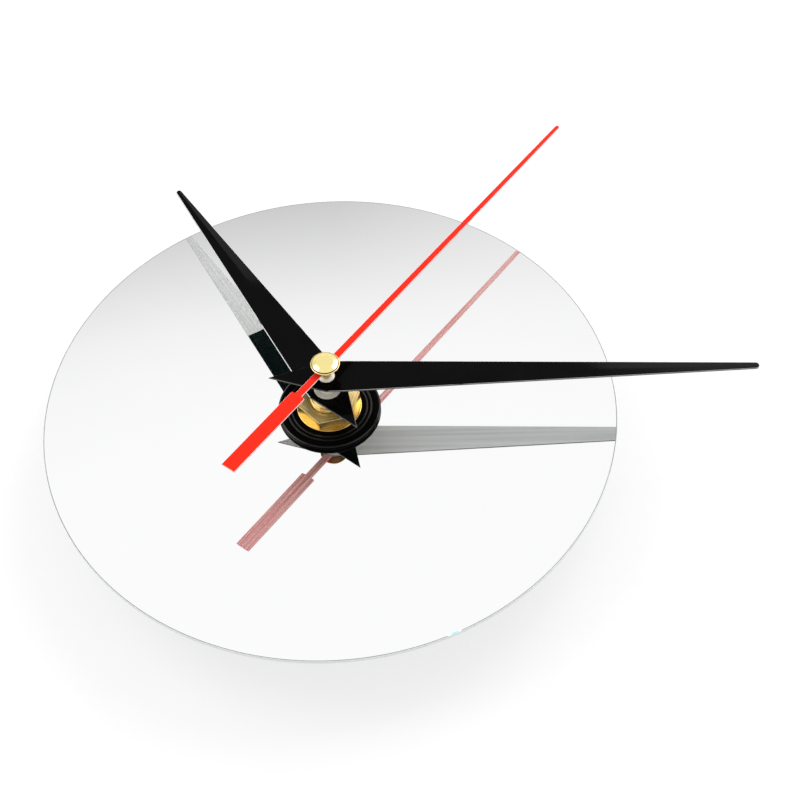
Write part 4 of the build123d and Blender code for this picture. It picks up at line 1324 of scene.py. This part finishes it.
@dataclass
class HandSet:
    """The three hands with the collet, collar, tube and cap that hold them, millimetres.

    cap_rim holds the cap's corners from its stem to its face: inset from the edge, depth under the top and
    fillet. In the groove, inside groove_inset and between groove_depths, and below under_depth it is duller
    and darker, with painted shade and a painted reflection of the dark hands below.
    tube_foot and tube_head are the ends of the slopes into the tube's waist, from its foot and its head.
    """

    hour_low: float = 24.4
    minute_low: float = 28.7
    second_low: float = 31.95
    sheet: float = 0.4
    second_sheet: float = 0.3
    pipe: float = 2.5
    collet: float = 2.94
    collet_low: float = 23.3
    collet_top: float = 24.88
    tube: float = 1.05
    tube_low: float = 29.7
    tube_waist: float = 0.12
    tube_foot: Flat = (0.7, 0.9)
    tube_head: Flat = (0.5, 0.3)
    arbor: float = 0.7
    arbor_top: float = 33.1
    cap_radius: float = 3.2
    cap_face: float = 1.9
    cap_rise: float = 1.7
    cap_stem: float = 1.4
    cap_neck: float = 1.05
    cap_rim: tuple[Corner, ...] = (
        (1.2, 0.86, 0.2), (0.08, 0.7, 0.08), (0.08, 0.5, 0.06), (0.26, 0.49, 0.0),
        (0.65, 0.48, 0.0), (0.65, 0.36, 0.0), (0.32, 0.34, 0.06),
    )
    groove_inset: float = 0.28
    groove_depths: Flat = (0.52, 0.35)
    under_depth: float = 0.72
    stem_margin: float = 0.1
    collar_radius: float = 1.8
    collar_cone: float = 1.2
    collar_low: float = 29.18
    collar_foot: float = 0.1
    collar_rise: float = 0.44
    collar_play: float = 0.06

    def build(self) -> None:
        """Builds the hands from the lowest up."""
        SwordHand(
            "hour_blade", "hour_hand", "hour", "black_paint", HOUR_ANGLE,
            self.hour_low, self.sheet, self.collet, [LACQUER, CUT_EDGE, HOUR_BARE, HOUR_PRIMER, WORN_SIDE],
            length=70.3, tail=12.4, half=4.45, tip=0.68, burr=0.11,
            crease=0.1, crease_from=30.0, hub_mark=33.6,
        ).build()
        settle(self.hour_collet(), "hour", "collet", "hour_collet")
        SwordHand(
            "minute_blade", "minute_hand", "minute", "black_paint", MINUTE_ANGLE, self.minute_low,
            self.sheet, self.collar_radius, [LACQUER, CUT_EDGE, MINUTE_BARE, HOUR_PRIMER, WORN_SIDE],
            length=92.0, tail=12.3, half=4.05, tip=0.78, burr=0.05, crease=0.05, crease_from=53.0,
        ).build()
        settle(self.minute_collar(), "minute", "brass")
        SweepHand(
            "second_needle", "second_hand", "second", "red_paint", SECOND_ANGLE, self.second_low,
            self.second_sheet, self.arbor, [RED_PAINT, RED_EDGE, RED_UNDER, RED_UNDER, RED_UNDER],
            length=88.5, half=0.85, tip=0.52, burr=0.07, across=7, tail_arris=Face.EDGE,
        ).build()
        settle(self.second_tube(), "second", "gold", "second_tube")
        settle(self.cap(), "second", "gold", "second_cap")

    def hour_collet(self) -> Piece:
        """Builds the hour hand's spun collet.

        Returns:
            The new object.
        """
        flange, seat = self.collet + self.sheet, self.hour_low - self.sheet
        corners = [
            (self.pipe, self.collet_low, 0.05),
            (self.collet, self.collet_low, 0.08),
            (self.collet, seat, 0.0),
            (flange, seat, 0.08),
            (flange, self.hour_low, 0.05),
            (self.collet, self.hour_low, 0.0),
            (self.collet, self.collet_top, 0.06),
            (self.pipe, self.collet_top, 0.04),
        ]
        return spin("collet_ring", corners, [COLLET])

    def minute_collar(self) -> Piece:
        """Builds the coned collar that closes the minute pipe.

        Returns:
            The new object.
        """
        low, high = self.collar_low, self.collar_low + self.collar_rise
        inner, edge = self.arbor + self.collar_play, self.collar_radius
        corners = [(inner, low, 0.0), (edge, low, 0.0), (edge, low + self.collar_foot, 0.06)]
        corners += [(self.collar_cone, high, 0.06), (inner, high, 0.03)]
        return spin("pipe_collar", corners, [PALE_BRASS], segments=72)

    def second_tube(self) -> Piece:
        """Builds the tube under the second hand with a turned waist.

        Returns:
            The new object.
        """
        low, high = self.tube_low, self.second_low
        waist = self.tube - self.tube_waist
        corners = [
            (self.arbor, low, 0.05),
            (self.tube, low, 0.1),
            (self.tube, low + self.tube_foot[0], 0.1),
            (waist, low + self.tube_foot[1], 0.1),
            (waist, high - self.tube_head[0], 0.1),
            (self.tube, high - self.tube_head[1], 0.1),
            (self.tube, high, 0.0),
            (self.arbor, high, 0.0),
        ]
        return spin("needle_tube", corners, [TUBE_GOLD], segments=64)

    def cap(self) -> Piece:
        """Builds the polished press cap; its groove and underside are duller, with painted shade and a
        painted reflection of the hands.

        Returns:
            The new object.
        """
        low = self.second_low + self.second_sheet
        top, edge = low + self.cap_rise, self.cap_radius
        corners = [
            (0.0, self.arbor_top, 0.0),
            (self.arbor, self.arbor_top, 0.0),
            (self.arbor, low, 0.0),
            (self.cap_stem, low, 0.05),
            (self.cap_stem, top - self.cap_neck, 0.1),
            *[(edge - inset, top - depth, fillet) for inset, depth, fillet in self.cap_rim],
            (self.cap_face, top, 0.12),
            (0.0, top, 0.0),
        ]
        groove = top - self.groove_depths[0], top - self.groove_depths[1]
        zones = [
            Zone(1, (-math.inf, edge - self.groove_inset), groove),
            Zone(1, (self.cap_stem - self.stem_margin, math.inf), (-math.inf, top - self.under_depth)),
        ]
        return spin("press_cap", corners, [GOLD, SHADED_GOLD], zones, steps=5, segments=128, sharp=60.0)


@dataclass
class Movement:
    """The quartz movement: plain solids get their finish, and the cell is built finely, millimetres.

    cell_foot and cell_crown are corners of its ends: inset from the sleeve, distance in from the foot or down
    from the shoulder, and fillet. cell_gutter is the dip round the nub: its width and depth.
    """

    cell_radius: float = 7.25
    cell_nub: float = 2.75
    cell_nub_rise: float = 1.4
    cell_crimp: float = 0.75
    cell_band: float = 7.5
    cell_foot: tuple[Corner, ...] = (
        (1.6, 0.0, 0.1), (1.5, 0.25, 0.1), (0.9, 0.25, 0.1), (0.7, 0.05, 0.2), (0.0, 0.35, 0.4),
    )
    cell_crown: tuple[Corner, ...] = ((0.0, 0.3, 0.4), (0.8, 0.0, 0.2), (1.0, 0.3, 0.1))
    cell_gutter: Flat = (0.5, 0.3)

    def build(self) -> None:
        """Dresses the plain solids and builds the cell."""
        for finish, nodes in PLAIN_SOLIDS.items():
            for node in nodes:
                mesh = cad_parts[node].data
                mesh.materials.clear()
                mesh.materials.append(finish.material())
                log.info("%s dressed in %s", node, finish.name)
        settle(self.cell(), "case", "cell", "cell")

    def cell(self) -> Piece:
        """Builds the cell with its sleeve, crimped ends and nub along X.

        Returns:
            The new object.
        """
        low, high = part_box("cell")
        middle_y = (low.y + high.y) / 2 / MM
        middle_z = (low.z + high.z) / 2 / MM
        foot, top, r, nub = low.x / MM, high.x / MM, self.cell_radius, self.cell_nub
        shoulder = top - self.cell_nub_rise
        width, dip = self.cell_gutter
        corners = [(0.0, foot, 0.0)]
        corners += [(r - inset, foot + rise, fillet) for inset, rise, fillet in self.cell_foot]
        corners += [(r, shoulder - self.cell_band, 0.0)]
        corners += [(r - inset, shoulder - drop, fillet) for inset, drop, fillet in self.cell_crown]
        corners += [(nub + width, shoulder - dip, 0.3), (nub, shoulder, 0.2)]
        corners += [(nub, top, 0.5), (0.0, top, 0.0)]
        zones = [
            Zone(2, (-math.inf, r - self.cell_crimp)),
            Zone(1, rise=(shoulder - self.cell_band, math.inf)),
        ]
        return spin(
            "cell_body", corners, [SLEEVE, BAND, NICKEL], zones, steps=4,
            place=lambda x, y, z: (z, x + middle_y, y + middle_z),
        )


@dataclass
class CaseDress:
    """The movement's moulded shell and back cover, with screws and moulded marks, millimetres.

    An arrow round the knob starts at each angle of arrow_starts and sweeps arrow_sweep degrees to its head,
    whose point is arrow_point degrees from the start.
    """

    arris: float = 0.3
    arris_margin: float = 0.05
    arris_bend: float = 0.9
    arris_segments: int = 3
    corner_reach: float = 3.0
    post_inset: float = 2.62
    recess: float = 1.95
    recess_depth: float = 0.95
    recess_step: float = 9.0
    cutter_foot: float = -1.0
    mark_depth: float = 0.25
    head: float = 1.65
    head_rise: float = 0.7
    slot: float = 0.4
    slot_share: float = 1.2
    head_corners: int = 40
    sign_arm: float = 1.6
    sign_half: float = 0.32
    sign_rise: float = 0.4
    plus_inset: float = 6.0
    minus_inset: float = 2.0
    knob: Flat = (-7.52, 13.02)
    arrow_radius: float = 7.0
    arrow_width: float = 0.7
    arrow_starts: Flat = (-50.0, 130.0)
    arrow_sweep: float = 75.0
    arrow_point: float = 91.0
    arrow_head: float = 1.0
    arrow_steps: int = 12

    def build(self) -> None:
        """Builds the shell, the cover and its screws."""
        low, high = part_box("back_cover")
        left, right = low.x / MM + self.post_inset, high.x / MM - self.post_inset
        bottom, top = low.y / MM + self.post_inset, high.y / MM - self.post_inset
        posts = [(left, top), (right, top), (right, bottom)]
        settle(self.shell(), "case", "case", "case_front")
        settle(self.cover(posts, self.marks(left, right, bottom)), "case", "case", "back_cover")
        settle(self.screws(posts), "case", "steel")

    def shell(self) -> Piece:
        """Builds the shell with rounded outer edges.

        Returns:
            The new object.
        """
        form = merged_copy("case_front")
        low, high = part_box("case_front")
        margin = self.arris_margin * MM
        edges = []
        for edge in form.edges:
            first, second = (vert.co for vert in edge.verts)
            x, y, _ = (first + second) / 2
            outside = abs(x) > high.x - margin or y < low.y + margin or y > -low.y - margin
            rounded = abs(x) + abs(y) > (high.x - low.y) - self.corner_reach * MM
            level = abs(first.z - second.z) < WELD_SOLID
            bent = edge.is_manifold and edge.calc_face_angle_signed(0.0) > self.arris_bend
            if (outside or rounded) and level and bent:
                edges.append(edge)
        bmesh.ops.bevel(
            form, geom=edges, offset=self.arris * MM, segments=self.arris_segments, profile=0.5,
            affect="EDGES", clamp_overlap=True,
        )
        return dressed_copy("case_shell", form, CASE)

    def marks(self, left: float, right: float, bottom: float) -> list[list[Flat]]:
        """Gives the outlines of the moulded marks: cell signs and a turning arrow on each side of the knob.

        Args:
            left: place of the left posts.
            right: place of the right posts.
            bottom: place of the lower posts.

        Returns:
            The outlines.
        """
        arm, half, y = self.sign_arm, self.sign_half, bottom + self.sign_rise
        plus = [(half, half), (half, arm), (-half, arm), (-half, half), (-arm, half), (-arm, -half)]
        plus += [(-half, -half), (-half, -arm), (half, -arm), (half, -half), (arm, -half), (arm, half)]
        minus = [(-arm, -half), (arm, -half), (arm, half), (-arm, half)]
        places = ((right - self.plus_inset, plus), (left + self.minus_inset, minus))
        signs = [[(x + dx, y + dy) for dx, dy in sign] for x, sign in places]
        sweep, point, reach, half = self.arrow_sweep, self.arrow_point, self.arrow_head, self.arrow_width / 2
        turns = [sweep * k / self.arrow_steps for k in range(self.arrow_steps + 1)]
        arrow = [(half, turn) for turn in turns]
        arrow += [(reach, sweep), (0.0, point), (-reach, sweep)]
        arrow += [(-half, turn) for turn in turns[::-1]]
        for start in self.arrow_starts:
            signs.append([polar(self.arrow_radius + out, start + turn, self.knob) for out, turn in arrow])
        return signs

    def cover(self, posts: Sequence[Flat], marks: Sequence[Sequence[Flat]]) -> Piece:
        """Builds the cover with sunk screw seats and moulded marks.

        Args:
            posts: the screws' places.
            marks: the marks' outlines.

        Returns:
            The new object.
        """
        turns = [self.recess_step * k for k in range(round(360.0 / self.recess_step))]
        cuts = [([polar(self.recess, turn, post) for turn in turns], self.recess_depth) for post in posts]
        cuts += [(outline, self.mark_depth) for outline in marks]
        points: list[Solid] = []
        faces: list[list[int]] = []
        for outline, depth in cuts:
            faces += drum(len(points), len(outline), 2)
            points += [(x, y, level) for level in (self.cutter_foot, depth) for x, y in outline]
        cutter = make_piece("cover_cutter", points, faces, [CASE])
        made = dressed_copy("cover_plate", merged_copy("back_cover"), CASE)
        carve = made.modifiers.new("carve", "BOOLEAN")
        carve.operation, carve.solver, carve.object = "DIFFERENCE", "EXACT", cutter
        bake(made, CRISP_MOULD)
        bpy.data.objects.remove(cutter)
        return made

    def screws(self, posts: Sequence[Flat]) -> Piece:
        """Grows a cross-slotted screw in each seat.

        Args:
            posts: the screws' places.

        Returns:
            The screws as one piece.
        """
        model = NodeModel("cover_screws", dict.fromkeys(("Radius", "Rise", "Slot"), "Float"))
        desk, given = model.desk, model.given
        rise, slot = given["Rise"], given["Slot"]
        feeds = {"Vertices": self.head_corners, "Radius": given["Radius"], "Depth": rise}
        blank = desk.give("GeometryNodeMeshCylinder", feeds, "Mesh")
        how = {"operation": "DIFFERENCE", "solver": "EXACT"}
        slotted = desk.node("GeometryNodeMeshBoolean", {"Mesh 1": blank}, **how)
        reach = desk.math("MULTIPLY", given["Radius"], self.slot_share)
        drop = desk.give("ShaderNodeCombineXYZ", {2: desk.math("MULTIPLY", rise, -0.5)})
        for long, short in ((reach, slot), (slot, reach)):
            size = desk.give("ShaderNodeCombineXYZ", {0: long, 1: short, 2: rise})
            bar = desk.give("GeometryNodeMeshCube", {"Size": size}, "Mesh")
            cut = desk.give("GeometryNodeTransform", {"Geometry": bar, "Translation": drop})
            desk.feed(slotted, {"Mesh 2": cut})
        seeds = desk.give("GeometryNodeMeshToPoints", {"Mesh": given["Geometry"]})
        feeds = {"Points": seeds, "Instance": slotted.outputs["Mesh"]}
        model.close(desk.give("GeometryNodeInstanceOnPoints", feeds), STEEL)
        middle = self.recess_depth - self.head_rise / 2
        values = {"Radius": self.head * MM, "Rise": self.head_rise * MM, "Slot": self.slot * MM}
        return model.grow("cover_screws", values, [(x, y, middle) for x, y in posts])


@dataclass(frozen=True)
class Lamp:
    """A soft square lamp: where it hangs, the point that it faces, its side in metres and its watts."""

    name: str
    place: Solid
    aim: Solid
    size: float
    power: float

    def hang(self) -> None:
        """Hangs the lamp."""
        data = bpy.data.lights.new(self.name, "AREA")
        data.shape = "SQUARE"
        data.size = self.size
        data.energy = self.power
        turn = (Vector(self.aim) - Vector(self.place)).to_track_quat("-Z", "Y").to_matrix().to_4x4()
        add_object(self.name, data).matrix_world = Matrix.Translation(self.place) @ turn


@dataclass
class Studio:
    """Floor, light and camera, in metres.

    Polished faces see a tent. gap_levels are its (height, level) stops at the far side, where it has a grey
    gap between gap_left and gap_right. Towards the camera, over dark_span, it falls to dark_tone.
    """

    eye: Solid = (-0.016137, -0.242312, 0.335508)
    forward: Solid = (0.07887, 0.60332, -0.79359)
    right: Solid = (0.98482, -0.17063, -0.03184)
    up: Solid = (0.15462, 0.77904, 0.60761)
    lens: float = 82.475
    sensor: float = 36.0
    clip: Flat = (0.01, 20.0)
    floor_radius: float = 3.0
    floor_drop: float = 0.0001
    floor_corners: int = 60
    floor_glow: float = 0.75
    floor_bounce: float = 0.8
    paper_tones: Flat = (0.26, 0.28)
    paper_scale: float = 60.0
    room_level: float = 0.66
    backdrop: float = 0.935
    gap_left: Flat = (-0.5, -0.25)
    gap_right: Flat = (0.36, 0.06)
    gap_far: Flat = (0.0, 0.3)
    gap_levels: tuple[Flat, ...] = (
        (0.0, 1.0), (0.45, 1.0), (0.6, 0.5), (0.7, 0.5), (0.72, 0.61),
        (0.745, 0.81), (0.76, 0.917), (0.775, 0.968), (0.8, 1.0),
    )
    dark_span: Flat = (0.78, 0.95)
    dark_tone: float = 0.36
    lamps: tuple[Lamp, ...] = (
        Lamp("lamp_left", (-0.44, 0.21, 0.61), (0.0, 0.0, 0.0), 0.42, 1.5),
        Lamp("lamp_right", (0.51, 0.4, 0.6), (0.51, 0.4, 0.0), 0.6, 4.4),
        Lamp("lamp_far", (0.1, 0.76, 0.62), (0.1, 0.76, 0.0), 0.17, 0.34),
    )

    def build(self) -> None:
        """Builds the whole studio."""
        self.camera()
        self.floor()
        self.room()
        for lamp in self.lamps:
            lamp.hang()
        bpy.context.scene.view_settings.view_transform = "Standard"

    def camera(self) -> None:
        """Sets the camera where the photograph was taken from."""
        data = bpy.data.cameras.new("photo_camera")
        data.sensor_width = self.sensor
        data.lens = self.lens
        data.clip_start, data.clip_end = self.clip
        made = add_object("photo_camera", data)
        axes = Matrix((self.right, self.up, [-x for x in self.forward])).transposed()
        made.matrix_world = Matrix.Translation(self.eye) @ axes.to_4x4()
        bpy.context.scene.camera = made

    @staticmethod
    def rays(desk: NodeDesk) -> tuple[Socket, Socket]:
        """Tells rays apart.

        Args:
            desk: the material's or the world's desk.

        Returns:
            1 for camera rays, and 1 for glossy and transmission rays.
        """
        path = desk.node("ShaderNodeLightPath").outputs
        return path["Is Camera Ray"], desk.math("MAXIMUM", path["Is Glossy Ray"], path["Is Transmission Ray"])

    def floor(self) -> None:
        """Lays a plain white floor that keeps a soft shadow."""
        count = self.floor_corners
        ring = [(*polar(self.floor_radius, 360.0 * k / count), -self.floor_drop) for k in range(count)]
        mesh = bpy.data.meshes.new("floor")
        mesh.from_pydata(ring, [], [list(range(count))])
        material = bpy.data.materials.new("white_floor")
        material.use_nodes = True
        material.node_tree.nodes.clear()
        mesh.materials.append(material)
        desk = NodeDesk(material.node_tree)
        place = desk.give("ShaderNodeTexCoord", key="Object")
        noise = desk.give("ShaderNodeTexNoise", {"Vector": place, "Scale": self.paper_scale})
        paper = desk.mix(noise, *((tone,) * 3 for tone in self.paper_tones))
        shown = desk.give("ShaderNodeBsdfDiffuse", {"Color": paper})
        glow = desk.give("ShaderNodeEmission", {"Color": (1.0, 1.0, 1.0, 1.0), "Strength": self.floor_glow})
        seen = desk.give("ShaderNodeAddShader", {0: shown, 1: glow})
        bounce = desk.give("ShaderNodeBsdfDiffuse", {"Color": (*(self.floor_bounce,) * 3, 1.0)})
        looked_at = desk.math("MAXIMUM", *self.rays(desk))
        out = desk.give("ShaderNodeMixShader", {0: looked_at, 1: bounce, 2: seen})
        desk.node("ShaderNodeOutputMaterial", {"Surface": out})
        made = add_object("floor", mesh)

    def tent(self, desk: NodeDesk) -> Socket:
        """Draws the tent that polished faces see.

        Args:
            desk: the world's desk.

        Returns:
            The tent's colour.
        """
        ray = desk.give("ShaderNodeTexCoord", key="Generated")
        way = desk.node("ShaderNodeSeparateXYZ", {0: ray}).outputs
        ramp = desk.node("ShaderNodeValToRGB", {0: way["Z"]})
        stops = ramp.color_ramp.elements
        while len(stops) < len(self.gap_levels):
            stops.new(0.5)
        for stop, (place, level) in zip(stops, self.gap_levels):
            stop.position = place
            stop.color = (level, level, level, 1.0)
        right, left = desk.spread(way["X"], self.gap_right), desk.spread(way["X"], self.gap_left)
        gap = desk.math("MULTIPLY", desk.math("MULTIPLY", right, left), desk.spread(way["Y"], self.gap_far))
        pale = desk.mix(gap, (1.0, 1.0, 1.0), ramp.outputs[0])
        facing = desk.vector("DOT_PRODUCT", ray, tuple(-x for x in self.forward))
        return desk.mix(desk.spread(facing, self.dark_span), pale, (self.dark_tone,) * 3)

    def room(self) -> None:
        """Lights the room evenly, and shows the tent to polished faces and a pale backdrop to the camera."""
        world = bpy.data.worlds.new("light_tent")
        world.use_nodes = True
        world.node_tree.nodes.clear()
        desk = NodeDesk(world.node_tree)
        camera, shine = self.rays(desk)
        tone = desk.mix(shine, (self.room_level,) * 3, self.tent(desk))
        tone = desk.mix(camera, tone, (self.backdrop,) * 3)
        light = desk.give("ShaderNodeBackground", {"Color": tone, "Strength": 1.0})
        desk.node("ShaderNodeOutputWorld", {"Surface": light})
        bpy.context.scene.world = world


def main() -> None:
    """Builds the studio and the clock's pieces in order."""
    logging.basicConfig(level=logging.INFO, format="%(name)s: %(message)s")
    Studio().build()
    MirrorPlate().build()
    ClampStack().build()
    HandSet().build()
    CaseDress().build()
    Movement().build()


if __name__ == "__main__":
    main()
